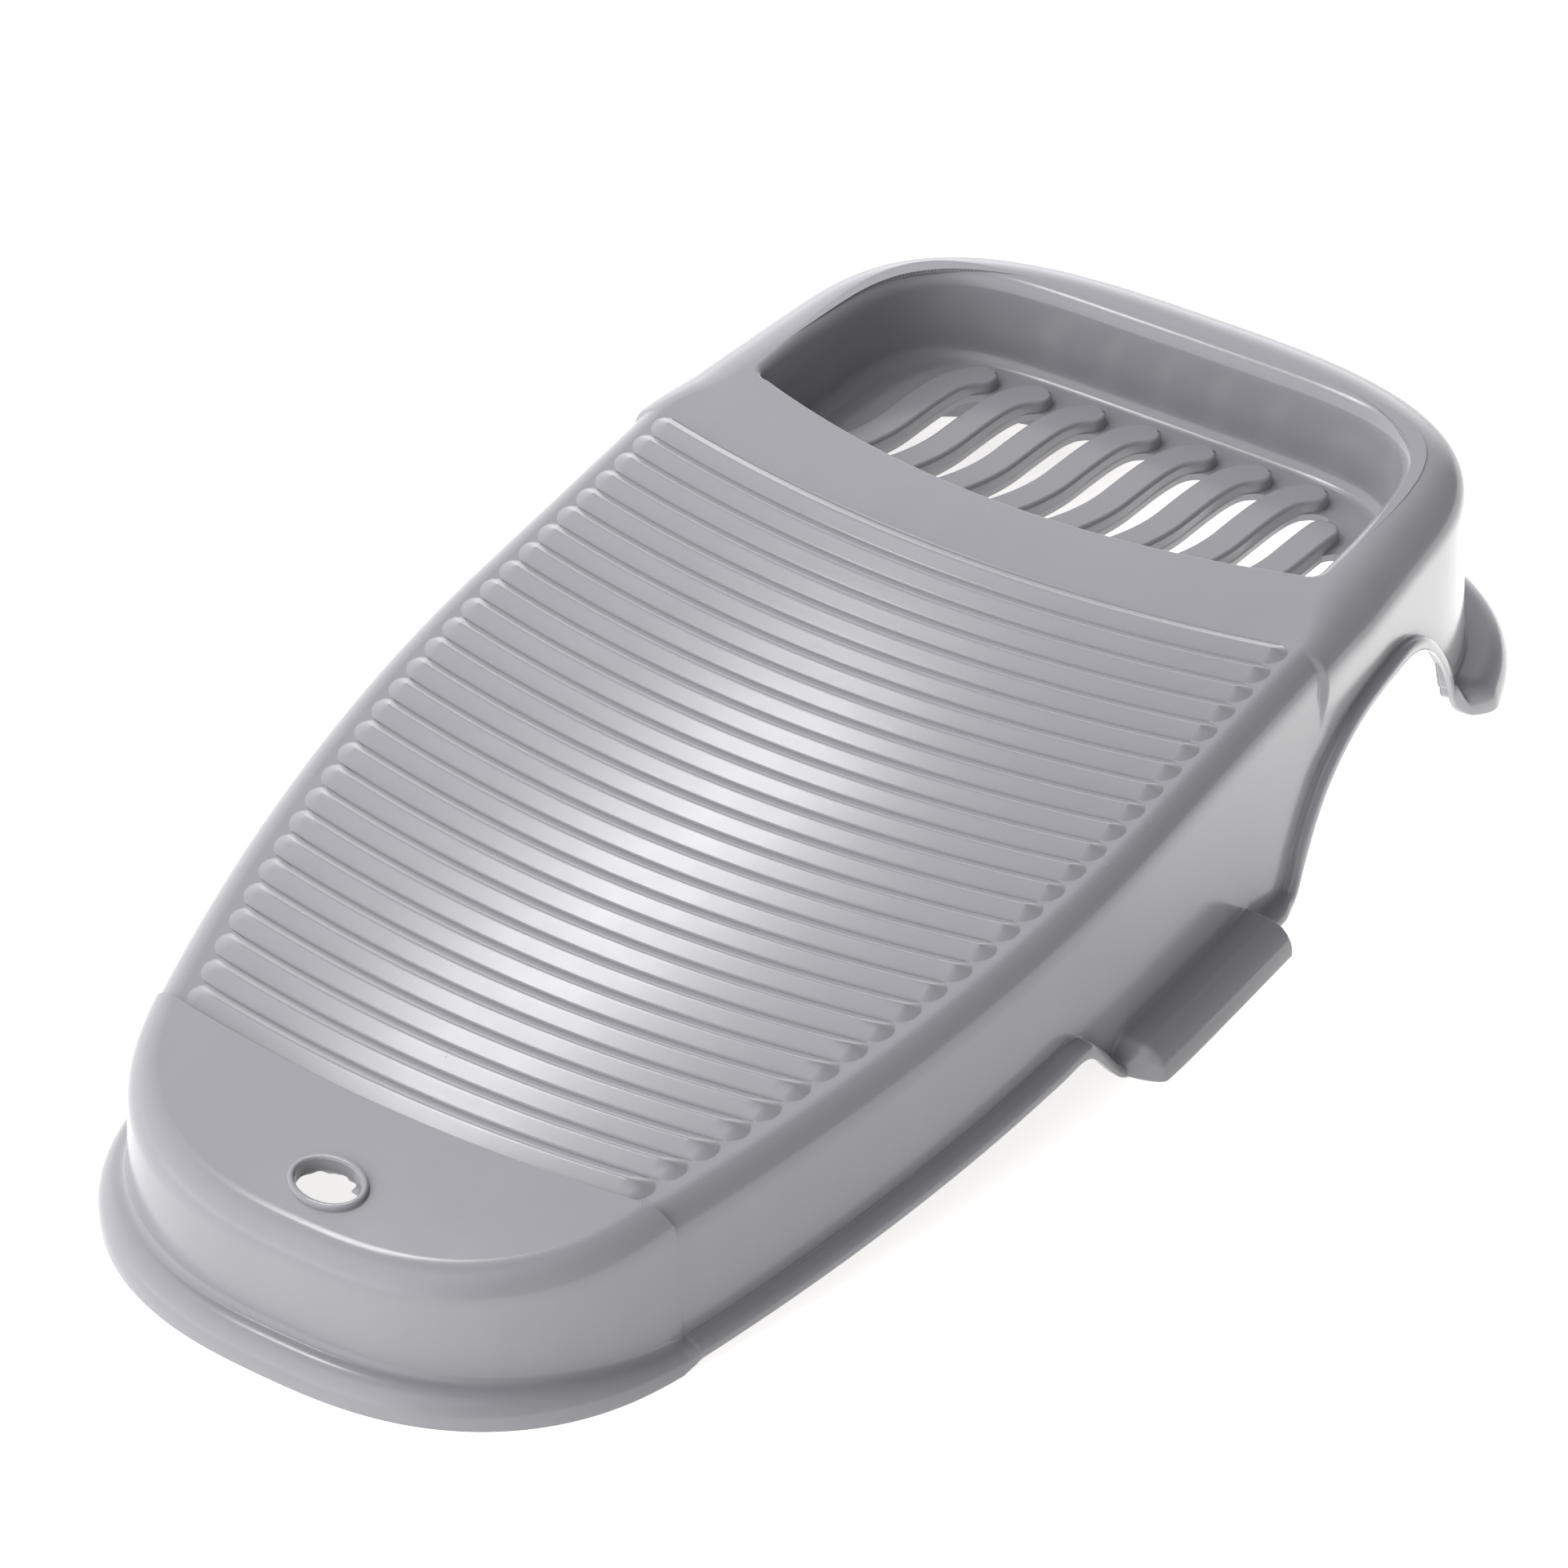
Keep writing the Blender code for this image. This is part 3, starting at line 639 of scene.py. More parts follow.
def outer_profile(s):
    """Outside of the perimeter: shoulder, wall, crease, top of the flange and its corner."""
    columns = []
    for angle in ROLL_ANGLES:
        share = math.sin(angle) ** (2.0 / ROLL_POWER)
        fall = 1.0 - max(math.cos(angle), 0.0) ** (2.0 / ROLL_POWER)
        columns.append(roll_points(s, share, fall))
    point, normal = shoulder_at(s)[:2]
    shoulder = columns[-1][:, 2]
    at = wall_placer(point, normal, shoulder)
    edge = edges_at(s)
    reach, height, corner, crease = flange_sizes(point, edge)
    steep = np.minimum(np.hypot(1.0, np.gradient(edge, s)), STEEPEST)
    steep = np.where(point[:, 1] < FRONT_LIP_END + LIP_EASE, 1.0, steep)
    top = edge + height * steep
    crease = np.minimum(crease, (shoulder - top) / 3.0)
    lean = DRAFT * (shoulder - top)
    for k in range(1, WALL_ROWS):
        z = shoulder + (top + crease - shoulder) * k / WALL_ROWS
        columns.append(at(DRAFT * (shoulder - z), z))
    for angle in CREASE_ANGLES:
        columns.append(at(lean + crease * (1.0 - math.cos(angle)), top + crease * (1.0 - math.sin(angle))))
    flat = np.maximum(reach - corner, crease + LEAST_FLAT)
    down = np.minimum(corner * steep, top - edge - LEAST_SIDE)
    for angle in CORNER_ANGLES:
        out = flat + (reach - flat) * math.sin(angle)
        columns.append(at(lean + out, top - down * (1.0 - math.cos(angle))))
    columns.append(at(lean + reach, edge + 0.5 * (top - edge - down)))
    columns.append(at(lean + reach, edge))
    return np.stack(columns, 1)


def inner_profile(s, outer):
    """Inside of the perimeter, from the inner edge of the shoulder to the bottom rim."""
    point, normal, width, _ = shoulder_at(s)
    shoulder = outer[:, len(ROLL_ANGLES) - 1, 2]
    at = wall_placer(point, normal, shoulder)
    top = outer[:, SKIRT_OUTER + 1, 2]
    edge = outer[:, -1, 2]
    reach = flange_sizes(point, edge)[0]
    lean = DRAFT * (shoulder - top)
    inner_top = outer[:, 0, 2] - WALL
    columns = [np.column_stack([outer[:, 0, :2], inner_top])]
    for angle in INNER_ROLL_ANGLES:
        z = mix(inner_top, shoulder, 1.0 - math.cos(angle))
        columns.append(at(-width + (width - WALL) * math.sin(angle), z))
    under = np.maximum(top - WALL, edge + LEAST_RIM)
    for k in range(1, INNER_WALL_ROWS + 1):
        z = mix(shoulder, under, k / INNER_WALL_ROWS)
        columns.append(at(DRAFT * (shoulder - z) - WALL, z))
    wall = np.minimum(WALL, RIM_SHARE * reach)
    columns.append(at(lean - 0.4 * WALL, under))
    columns.append(at(lean + 0.6 * (reach - wall), under))
    columns.append(at(lean + reach - wall, edge + 0.45 * (under - edge)))
    columns.append(at(lean + reach - wall, edge))
    return np.stack(columns, 1)


def stations(marks):
    """Runs from the nose to the tail on the right side, closer together at the marks."""
    s = [0.0]
    while s[-1] < HALF_LENGTH:
        nearest = min(abs(s[-1] - mark) for mark in marks)
        s.append(s[-1] + STATION_STEP + STATION_GROWTH * float(smooth(nearest / STATION_SPREAD)))
    s = np.array(s)
    return s * HALF_LENGTH / s[-1]


def perimeter_spans(cuts, half):
    """Skirt and flange nodes, with the stations where each pair starts and ends."""
    spans = [("front_skirt", "front_lip", -cuts[0], cuts[0])]
    for k, part in enumerate(("_front", "_middle", "_rear")):
        start, end = cuts[k], cuts[k + 1]
        flange = "_side_ledge" if part == "_middle" else part + "_flange"
        for side, low, high in (("right", start, end), ("left", 2 * half - end, 2 * half - start)):
            spans.append((side + part + "_skirt", side + flange, low, high))
    spans.append(("rear_skirt", "rear_lip", cuts[3], 2 * half - cuts[3]))
    return spans


def make_perimeter(plastics):
    """Shoulder, wall and out-turned edge all round, cut into the frame's skirts and flanges."""
    breaks = [run_at(y) for y in (FRONT_LIP_END, LEDGE_FRONT, LEDGE_REAR, REAR_LIP_START)]
    steep_places = [run_at(y) for y in (FIELD_CORNER, HEAD_START, ARCH_START, ARCH_LEG)]
    right = stations(breaks + steep_places)
    s = np.concatenate([right, LENGTH - right[-2:0:-1]])
    outer = outer_profile(s)
    ring = np.concatenate([outer, inner_profile(s, outer)[:, ::-1]], 1)
    normals = grid_normals(ring, True, True)
    normals[:, 0] = surface_normals(top_height, *outer[:, 0, :2].T)
    last = ring.shape[1] - 1
    upper = np.r_[0:SKIRT_OUTER, last - SKIRT_INNER + 1:last + 1]
    lower = np.r_[SKIRT_OUTER - 1:last - SKIRT_INNER + 2]
    lower_outside = outer.shape[1] - SKIRT_OUTER + 1
    cuts = [int(np.argmin(np.abs(right - b))) for b in breaks]
    for skirt, flange, low, high in perimeter_spans(cuts, len(right) - 1):
        rows = np.arange(low, high + 1) % len(s)
        parts = ((upper, SKIRT_OUTER, skirt, "skirt", "skirt"),
                 (lower, lower_outside, flange, "base_edge", "edge"))
        for columns, outside, node, slot, look in parts:
            body = Body()
            region = np.ix_(rows, columns)
            numbers = body.add(ring[region], normals[region])
            body.quads(numbers, flip=True, wrap_columns=True)
            body.cap(numbers[0], outside)
            body.cap(numbers[-1], outside, flip=True)
            body.build(node + "_shell", [node], slot, plastics[look])


# ---- scrub field

def field_columns(rows):
    """x across each row: even over the middle, then close together over the rib ends."""
    insets = np.linspace(FIELD_INSET, ROLL_WIDTH, END_COLUMNS)
    ends = np.stack([point_on_row(rows, inset)[0] for inset in insets], 1)
    middle = np.linspace(-1.0, 1.0, MIDDLE_COLUMNS)[None, :] * ends[:, :1]
    return np.hstack([-ends[:, :0:-1], middle, ends[:, 1:]])


def make_field(plastics):
    """One closed strip for each rib, from valley to valley."""
    ends = np.array([rib_end(k) for k in range(RIB_COUNT)])

    def height(x, y):
        return top_height(x, y) + rib_height(x, row_of(x, y), ends)
    fine = FINE_ROWS / RIB_PITCH
    shares = np.concatenate([fine, FACET_SHARES, 1.0 - fine[:0:-1], [1.0]])
    for number in range(RIB_COUNT):
        rows = RIB_FIRST + (number + shares) * RIB_PITCH
        if number == 0:
            rows = np.concatenate([np.linspace(APRON_ROW, RIB_FIRST, STEP_ROWS)[:-1], rows])
        if number == RIB_COUNT - 1:
            rows = np.append(rows, HEAD_ROW + FINE_ROWS[1:])
        x = field_columns(rows)
        y = rows[:, None] + RIB_BOW * x * x
        top = np.stack([x, y, height(x, y)], -1)
        body = Body()
        upper = body.add(top, surface_normals(height, x, y))
        body.quads(upper, flip=True)
        under = top[[0, -1], ::2]
        under[..., 2] = deck_height(under[..., 0], under[..., 1]) - WALL
        lower = body.add(under)
        body.quads(lower, shaded=False)
        body.strip(upper[0], lower[0], flip=True)
        body.strip(upper[-1], lower[-1])
        body.strip(upper[:, 0], lower[:, 0])
        body.strip(upper[:, -1], lower[:, -1], flip=True)
        rib = "rib_%02d" % (number + 1)
        nodes = ["scrub_" + rib, "scrub_deck"][:2 if number == 0 else 1]
        body.build(rib, nodes, "scrub_field", plastics["field"])


# ---- smooth top surfaces

def seen_from(centre, loop, angles):
    """Points of a closed loop in the given directions from a centre."""
    around = loop - centre
    bearing = np.arctan2(around[:, 1], around[:, 0])
    order = np.argsort(bearing)
    bearing, points = bearing[order], loop[order]
    wrapped = np.concatenate([bearing - 2 * np.pi, bearing, bearing + 2 * np.pi])
    triple = np.vstack([points, points, points])
    return points_at(angles, wrapped, triple)


def top_plate(name, nodes, inner, outer, ring_count, material):
    """A plate on the top surface between two loops with the same number of points."""
    t = np.linspace(0.0, 1.0, ring_count)
    shares = EVEN_SHARE * t + (1.0 - EVEN_SHARE) * smooth(t)
    lines = inner[None] + (outer - inner)[None] * shares[:, None, None]
    x, y = lines[..., 0], lines[..., 1]
    grid = np.stack([x, y, top_height(x, y)], -1)
    body = Body()
    upper = body.add(grid, surface_normals(top_height, x, y))
    body.quads(upper, wrap_columns=True, flip=True)
    under = grid[[0, -1]].copy()
    under[..., 2] -= WALL
    lower = body.add(under)
    body.quads(lower, shaded=False, wrap_columns=True)
    for line, low, flip in ((upper[0], lower[0], False), (upper[-1], lower[1], True)):
        body.quads(np.stack([line, low]), shaded=False, wrap_columns=True, flip=flip)
    body.build(name, nodes, "smooth_top", material)


def boundary_line(row, s_low, s_high):
    """Closed loop of the shoulder's inner edge and a row, with the two corners."""
    edge = shoulder_edge(np.linspace(s_low, s_high, SIDE_POINTS))
    x = np.linspace(edge[-1, 0], edge[0, 0], END_POINTS)[1:-1]
    line = np.stack([x, row + RIB_BOW * x * x], -1)
    return np.vstack([edge, line]), edge[[0, -1]]


def run_where_row(row, low, high):
    """Run on the right side where the shoulder's inner edge crosses a row."""
    s = np.linspace(low, high, SEARCH_POINTS)
    return float(np.interp(row, row_of(*shoulder_edge(s).T), s))


def angles_with(corners, centre, count):
    """Even directions, with the directions of the corners put in exactly."""
    angles = list(np.linspace(-math.pi, math.pi, count, endpoint=False))
    for corner in corners:
        angles.append(math.atan2(corner[1] - centre[1], corner[0] - centre[0]))
    return np.array(sorted(angles))


def hole_loop(angles, extra):
    """The hanging hole's oval, widened by extra, in the given directions."""
    a, b = HOLE_HALF[0] + extra, HOLE_HALF[1] + extra
    length = 1.0 / np.sqrt((np.cos(angles) / a) ** 2 + (np.sin(angles) / b) ** 2)
    return np.stack([length * np.cos(angles), HOLE_Y + length * np.sin(angles)], -1)


def make_apron(plastics):
    """Smooth plate in front of the ribs, round the hanging hole."""
    end = run_where_row(APRON_ROW, *APRON_END_RUNS)
    loop, corners = boundary_line(APRON_ROW, -end, end)
    centre = np.array([0.0, HOLE_Y])
    angles = angles_with(corners, centre, APRON_POINTS)
    outer = seen_from(centre, loop, angles)
    inner = hole_loop(angles, 0.0)
    top_plate("apron_plate", ["front_apron"], inner, outer, APRON_RINGS, plastics["smooth"])


def make_collar(plastics):
    """Raised oval rim and tube of the hanging hole, with a little flash at its lower edge."""
    angles = np.linspace(-math.pi, math.pi, HOLE_POINTS, endpoint=False)
    profile = [(0.0, -0.4), (0.0, 0.9), (-0.12, 1.25), (-0.4, 1.5), (-0.75, HOLE_RIM)]
    profile += [(0.75 - HOLE_WALL, HOLE_RIM), (0.4 - HOLE_WALL, 1.5), (0.1 - HOLE_WALL, 1.2)]
    profile += [(-HOLE_WALL, 0.8), (-HOLE_WALL - 0.1, -HOLE_DEPTH + 0.7)]
    flash = 0.5 + 0.35 * np.sin(3.0 * angles + 0.6) + 0.25 * np.sin(7.0 * angles)
    flash += 0.2 * np.sin(12.0 * angles) + 2.2 * np.exp(-((angles - 0.5) / 0.16) ** 2)
    oval = hole_loop(angles, 0.0)
    inward = unit(np.array([0.0, HOLE_Y]) - oval)
    flashed = oval + inward * (HOLE_WALL + np.maximum(flash, 0.1))[:, None]
    plans = [(hole_loop(angles, offset), rise) for offset, rise in profile]
    plans += [(flashed, FLASH_HEIGHT - HOLE_DEPTH), (flashed, -HOLE_DEPTH), (oval, -HOLE_DEPTH)]
    grid = np.stack([np.column_stack([plan, apron_height(*plan.T) + rise]) for plan, rise in plans], 0)
    body = Body()
    body.add_closed(grid, grid_normals(grid, True, True))
    body.build("hole_collar", ["hang_hole_collar"], "smooth_top", plastics["smooth"])


# ---- head and soap tray

def tray_loop(inset):
    """The tray opening drawn in by inset, as a closed loop from the middle of its front."""
    half = TRAY_HALF - inset
    reach = TRAY_REACH - inset
    x = np.linspace(0.0, half - TRAY_CORNER, FRONT_POINTS)
    front = np.stack([x, TRAY_FRONT + TRAY_FRONT_BOW * x * x + inset], -1)
    base = front[-1]
    first = math.asin(((base[1] + TRAY_CORNER - TRAY_CENTRE) / reach) ** (TRAY_POWER / 2.0))
    angles = np.linspace(first, math.pi / 2.0, TRAY_SIDE_POINTS)
    side = rounded_end(lambda y: half, TRAY_CENTRE, reach, TRAY_POWER, angles)
    side[-1, 0] = 0.0
    bend = np.linspace(0.0, math.pi / 2.0, CORNER_POINTS + 2)[1:-1]
    width = side[0, 0] - base[0]
    corner = np.stack([base[0] + width * np.sin(bend), base[1] + TRAY_CORNER * (1.0 - np.cos(bend))], -1)
    right = np.vstack([front, corner, side])
    return np.vstack([right, right[-2:0:-1] * (-1.0, 1.0)])


TRAY_TABLE = np.stack([tray_loop(inset) for inset in TRAY_INSETS])


def tray_loops(insets):
    """A tray loop whose inset may vary from point to point."""
    at = (insets - TRAY_INSETS[0]) / (TRAY_INSETS[1] - TRAY_INSETS[0])
    at = np.broadcast_to(at, TRAY_TABLE.shape[1])
    low = np.clip(np.floor(at).astype(int), 0, len(TRAY_INSETS) - 2)
    share = (at - low)[:, None]
    points = np.arange(TRAY_TABLE.shape[1])
    return TRAY_TABLE[low, points] * (1.0 - share) + TRAY_TABLE[low + 1, points] * share


def edge_rounding():
    """Radius of the opening's edge at each point of a tray loop."""
    share = np.concatenate([np.zeros(FRONT_POINTS), np.linspace(0.0, 0.5, CORNER_POINTS),
                            np.linspace(0.5, 1.0, EASE_POINTS), np.ones(TRAY_SIDE_POINTS - EASE_POINTS)])
    radius = mix(TRAY_FRONT_EDGE, TRAY_EDGE, smooth(share))
    return np.concatenate([radius, radius[-2:0:-1]])


def edge_shift(rounding):
    """How far the wall stands inside the opening, in step with the rounding."""
    return TRAY_SHIFT * (rounding - TRAY_FRONT_EDGE) / (TRAY_EDGE - TRAY_FRONT_EDGE)


def make_head(plastics):
    """Top of the head round the tray opening, up to the shoulder."""
    rounding = edge_rounding()
    inner = tray_loops(edge_shift(rounding) - rounding)
    start = run_where_row(HEAD_EDGE, run_at(60.0), run_at(140.0))
    loop, corners = boundary_line(HEAD_EDGE, start, LENGTH - start)
    centre = np.array([0.0, TRAY_CENTRE + HEAD_CENTRE])
    dense = np.vstack([inner, inner[:1]])
    bearings = np.unwrap(np.arctan2(*(dense - centre).T[::-1]))
    wanted = angles_with(corners, centre, HEAD_POINTS)
    wanted = np.sort(np.mod(wanted - bearings[0], 2 * math.pi)) + bearings[0]
    wanted = np.unique(np.concatenate([wanted, bearings[:-1]]))
    wanted = wanted[np.append(np.diff(wanted) > LEAST_TURN, True)]
    inside = points_at(wanted, bearings, dense)
    outside = seen_from(centre, loop, np.mod(wanted + math.pi, 2 * math.pi) - math.pi)
    top_plate("head_plate", ["head_band", "tray_rim"], inside, outside, HEAD_RINGS, plastics["smooth"])


def make_tray_wall(plastics):
    """Rounded edge of the opening, the wall, the fillet at the floor and the wall's back."""
    rounding = edge_rounding()
    shift = edge_shift(rounding)
    rings = []

    def ring(insets, z):
        plan = tray_loops(insets)
        rings.append(np.column_stack([plan, np.broadcast_to(z, len(plan))]))

    def top_over(insets):
        return top_height(*tray_loops(insets).T)
    for angle in np.radians(np.linspace(0.0, 90.0, 10)):
        insets = shift - rounding * (1.0 - math.sin(angle))
        ring(insets, top_over(insets) - rounding * (1.0 - math.cos(angle)))
    start = top_over(shift) - rounding
    low = TRAY_FLOOR + TRAY_FILLET
    for share in np.linspace(0.0, 1.0, 8)[1:]:
        ring(shift + (TRAY_WALL_FOOT - shift) * share, start + (low - start) * share)
    for angle in np.radians(np.linspace(0.0, 90.0, 8))[1:]:
        ring(TRAY_WALL_FOOT + TRAY_FILLET * (1.0 - math.cos(angle)), low - TRAY_FILLET * math.sin(angle))
    foot = len(rings) - 1
    for inset, z in ((8.0, -WALL), (2.5, -WALL), (0.0, 1.0)):
        ring(inset, TRAY_FLOOR + z)
    ring(shift - np.minimum(rounding, WALL), top_over(shift) - WALL - 1.0)
    ring(shift - rounding, top_over(shift - rounding) - WALL)
    grid = np.stack(rings, 0)
    normals = grid_normals(grid, True, True)
    normals[0] = surface_normals(top_height, *grid[0, :, :2].T)
    normals[foot] = (0.0, 0.0, 1.0)
    body = Body()
    body.add_closed(grid, normals)
    body.build("tray_wall_shell", ["tray_wall"], "soap_tray", plastics["tray"])


def slat_centre(index, y):
    """x of a slat's centre line: slanted, bent at the front and hooked at the rear end."""
    ahead = SLAT_REAR - y
    hook = SLAT_HOOK * (1.0 - np.exp(-np.maximum(ahead, -2.0) / SLAT_HOOK_RUN))
    bend = SLAT_BEND * np.maximum(SLAT_BEND_START - y, 0.0) ** 2
    return SLAT_FIRST + index * SLAT_PITCH - hook - SLAT_SLANT * ahead - bend


def slat_line(index, front, rear, count):
    """Centre line of a slat with its forward and sideways directions."""
    y = np.linspace(front, rear, count)
    line = np.stack([slat_centre(index, y), y], -1)
    ahead = unit(np.gradient(line, axis=0))
    return line, ahead, np.stack([ahead[:, 1], -ahead[:, 0]], -1)


def make_slat(index, plastics):
    """Flat-topped bar with rounded edges and a round rear end, standing on the floor."""
    rear = SLAT_REAR if index < SLAT_COUNT - 1 else LAST_SLAT_REAR
    line, ahead, across = slat_line(index, SLAT_FRONT, rear, SLAT_POINTS)
    profile = [(0.35, -0.6), (0.3, 0.05), (0.12, 0.5)]
    rise = SLAT_HEIGHT - SLAT_ROUNDING
    for angle in np.radians(np.linspace(0.0, 90.0, 7)):
        profile.append((-SLAT_ROUNDING * (1.0 - math.cos(angle)), rise + SLAT_ROUNDING * math.sin(angle)))
    rows = [(point, side, 1.0, 0.0) for point, side in zip(line, across)]
    for angle in np.radians(np.linspace(8.0, 87.0, 12)):
        rows.append((line[-1], across[-1], math.cos(angle), math.sin(angle)))
    grid = []
    for point, side, width, length in rows:
        left = []
        right = []
        for grow, z in profile:
            end = point + ahead[-1] * (SLAT_HALF + grow) * length
            half = side * (SLAT_HALF + grow) * width
            left.append([*(end - half), TRAY_FLOOR + z])
            right.append([*(end + half), TRAY_FLOOR + z])
        grid.append(left + right[::-1])
    grid = np.array(grid)
    body = Body()
    numbers = body.add(grid, grid_normals(grid))
    body.quads(numbers, flip=True)
    body.quads(np.stack([numbers[:, -1], numbers[:, 0]], 1), shaded=False, flip=True)
    body.face(numbers[0])
    body.face(numbers[-1][::-1])
    slat = "slat_%d" % (index + 1)
    body.build(slat, ["tray_" + slat], "soap_tray", plastics["tray"])


def tray_side(y):
    """Half-width of the tray's flat floor."""
    half = TRAY_HALF - TRAY_WALL_FOOT - TRAY_FILLET
    reach = TRAY_REACH - TRAY_WALL_FOOT - TRAY_FILLET
    return half * (1.0 - np.clip((y - TRAY_CENTRE) / reach, 0.0, 1.0) ** TRAY_POWER) ** (1.0 / TRAY_POWER)


def slot_plan(index):
    """Outline of the through slot to the right of a slat."""
    last = index == SLAT_COUNT - 1
    line, _, across = slat_line(index, SLOT_FRONT, LAST_SLOT_REAR if last else SLOT_REAR, SLOT_POINTS)
    left = line + across * (SLAT_HALF + SLOT_LEDGE)
    width = SLAT_PITCH - 2.0 * SLAT_HALF - SLOT_LEDGE - SLOT_TRIM
    right = left + np.array([width, 0.0])
    if last:
        right[:, 0] = np.minimum(right[:, 0], tray_side(right[:, 1]))
    middle = (left[-1] + right[-1]) / 2.0
    radius = (right[-1] - left[-1])[0] / 2.0
    end = []
    for angle in np.linspace(math.pi, 0.0, 13)[1:-1]:
        lean = SLOT_END_LEAN * radius * math.sin(angle)
        end.append([middle[0] + radius * math.cos(angle) + lean, middle[1] + radius * math.sin(angle)])
    return np.vstack([left, end, right[::-1]])


def upright(name, plan, low, high):
    """Upright prism over a plan, used as a cutter or as the floor before it is cut."""
    count = len(plan)
    verts = [(x * MM, (y - CENTRE_Y) * MM, z * MM) for z in (low, high) for x, y in plan]
    faces = [list(range(count))[::-1], list(range(count, 2 * count))]
    for i in range(count):
        j = (i + 1) % count
        faces.append([i, j, count + j, count + i])
    return put_in_scene(name, new_mesh(name, verts, faces))


def make_tray_floor(plastics):
    """Floor plate with its through slots."""
    plan = tray_loop(TRAY_WALL_FOOT + TRAY_FILLET - FLOOR_OVERLAP)
    floor = upright("tray_floor_plate", plan, TRAY_FLOOR - WALL, TRAY_FLOOR)
    cutters = []
    for index in range(SLAT_COUNT):
        cutter = upright("slot_cutter_%d" % index, slot_plan(index),
                         TRAY_FLOOR - CUTTER_REACH, TRAY_FLOOR + CUTTER_REACH)
        cutters.append(cutter)
        cut = floor.modifiers.new("slot_%d" % index, "BOOLEAN")
        cut.operation = "DIFFERENCE"
        cut.solver = "EXACT"
        cut.object = cutter
    bpy.context.view_layer.update()
    cooked = floor.evaluated_get(bpy.context.evaluated_depsgraph_get())
    mesh = bpy.data.meshes.new_from_object(cooked)
    floor.modifiers.clear()
    floor.data = mesh
    mesh.materials.clear()
    mesh.materials.append(plastics["tray"])
    for cutter in cutters:
        bpy.data.objects.remove(cutter)
    finish_piece(floor, ["tray_floor"], "soap_tray")


# ---- material

class Nodes:
    """Short forms for building a node tree."""

    def __init__(self, tree):
        self.tree = tree

    def new(self, kind, **inputs):
        made = self.tree.nodes.new("ShaderNode" + kind)
        for name, value in inputs.items():
            made.inputs[name].default_value = value
        return made

    def link(self, source, target):
        self.tree.links.new(source, target)

    def maths(self, operation, a, b=None):
        made = self.new("Math")
        made.operation = operation
        for slot, value in enumerate((a, b)):
            if isinstance(value, (int, float)):
                made.inputs[slot].default_value = value
            elif value is not None:
                self.link(value, made.inputs[slot])
        return made.outputs[0]

    def times(self, a, b):
        return self.maths("MULTIPLY", a, b)

    def plus(self, a, b):
        return self.maths("ADD", a, b)

    def place(self, kind):
        return self.new("TexCoord").outputs[kind]

    def noise(self, vector, scale, detail=2.0, roughness=0.5):
        made = self.new("TexNoise", Scale=scale, Detail=detail, Roughness=roughness)
        self.link(vector, made.inputs["Vector"])
        return made.outputs["Fac"]

    def stretched(self, vector, scale):
        made = self.new("Mapping", Scale=scale)
        self.link(vector, made.inputs["Vector"])
        return made.outputs["Vector"]

    def between(self, value, low, high, out_low, out_high):
        names = ("From Min", "From Max", "To Min", "To Max")
        made = self.new("MapRange", **dict(zip(names, (low, high, out_low, out_high))))
        made.clamp = True
        self.link(value, made.inputs["Value"])
        return made.outputs["Result"]

    def specks(self, vector):
        """1 in the middle of a few cells, chosen at random, and 0 elsewhere."""
        cells = self.new("TexVoronoi", Scale=SPECK_SCALE)
        self.link(vector, cells.inputs["Vector"])
        parts = self.new("SeparateColor")
        self.link(cells.outputs["Color"], parts.inputs["Color"])
        picked = self.maths("GREATER_THAN", parts.outputs[0], SPECK_CHOICE)
        return self.times(picked, self.between(cells.outputs["Distance"], *SPECK_EDGE, 1.0, 0.0))


def new_material(name):
    made = bpy.data.materials.new(name)
    made.use_nodes = True
    return made, made.node_tree.nodes["Principled BSDF"], Nodes(made.node_tree)


def plastic(name, roughness, streak):
    """Glossy grey polypropylene: soft mottling, flow streaks, dust specks and fine waviness."""
    made, shader, nodes = new_material(name)
    place = nodes.place("Object")
    mottle = nodes.between(nodes.noise(place, MOTTLE_SCALE, 3.0), 0.3, 0.7, *MOTTLE_RANGE)
    streaks = nodes.noise(nodes.stretched(place, streak), 1.0, 4.0, 0.6)
    speck = nodes.specks(place)
    shade = nodes.plus(mottle, nodes.between(streaks, 0.35, 0.7, *STREAK_RANGE))
    tint = nodes.new("VectorMath")
    tint.operation = "SCALE"
    tint.inputs[0].default_value = GREY
    nodes.link(nodes.plus(shade, nodes.times(speck, SPECK_TINT)), tint.inputs["Scale"])
    nodes.link(tint.outputs["Vector"], shader.inputs["Base Color"])
    polish = nodes.noise(place, POLISH_SCALE, 4.0, 0.6)
    gloss = nodes.between(polish, 0.3, 0.7, roughness - 0.012, roughness + 0.018)
    nodes.link(gloss, shader.inputs["Roughness"])
    waves = nodes.plus(nodes.times(nodes.noise(place, WAVE_SCALE, 1.0), 0.8), nodes.times(streaks, 0.10))
    peel = nodes.times(nodes.noise(place, PEEL_SCALE, 1.0), 0.004)
    bump = nodes.new("Bump", Strength=0.5, Distance=BUMP_HEIGHT)
    nodes.link(nodes.plus(nodes.plus(waves, peel), nodes.times(speck, 0.4)), bump.inputs["Height"])
    nodes.link(bump.outputs["Normal"], shader.inputs["Normal"])
    shader.inputs["IOR"].default_value = 1.49
    return made


# ---- stage

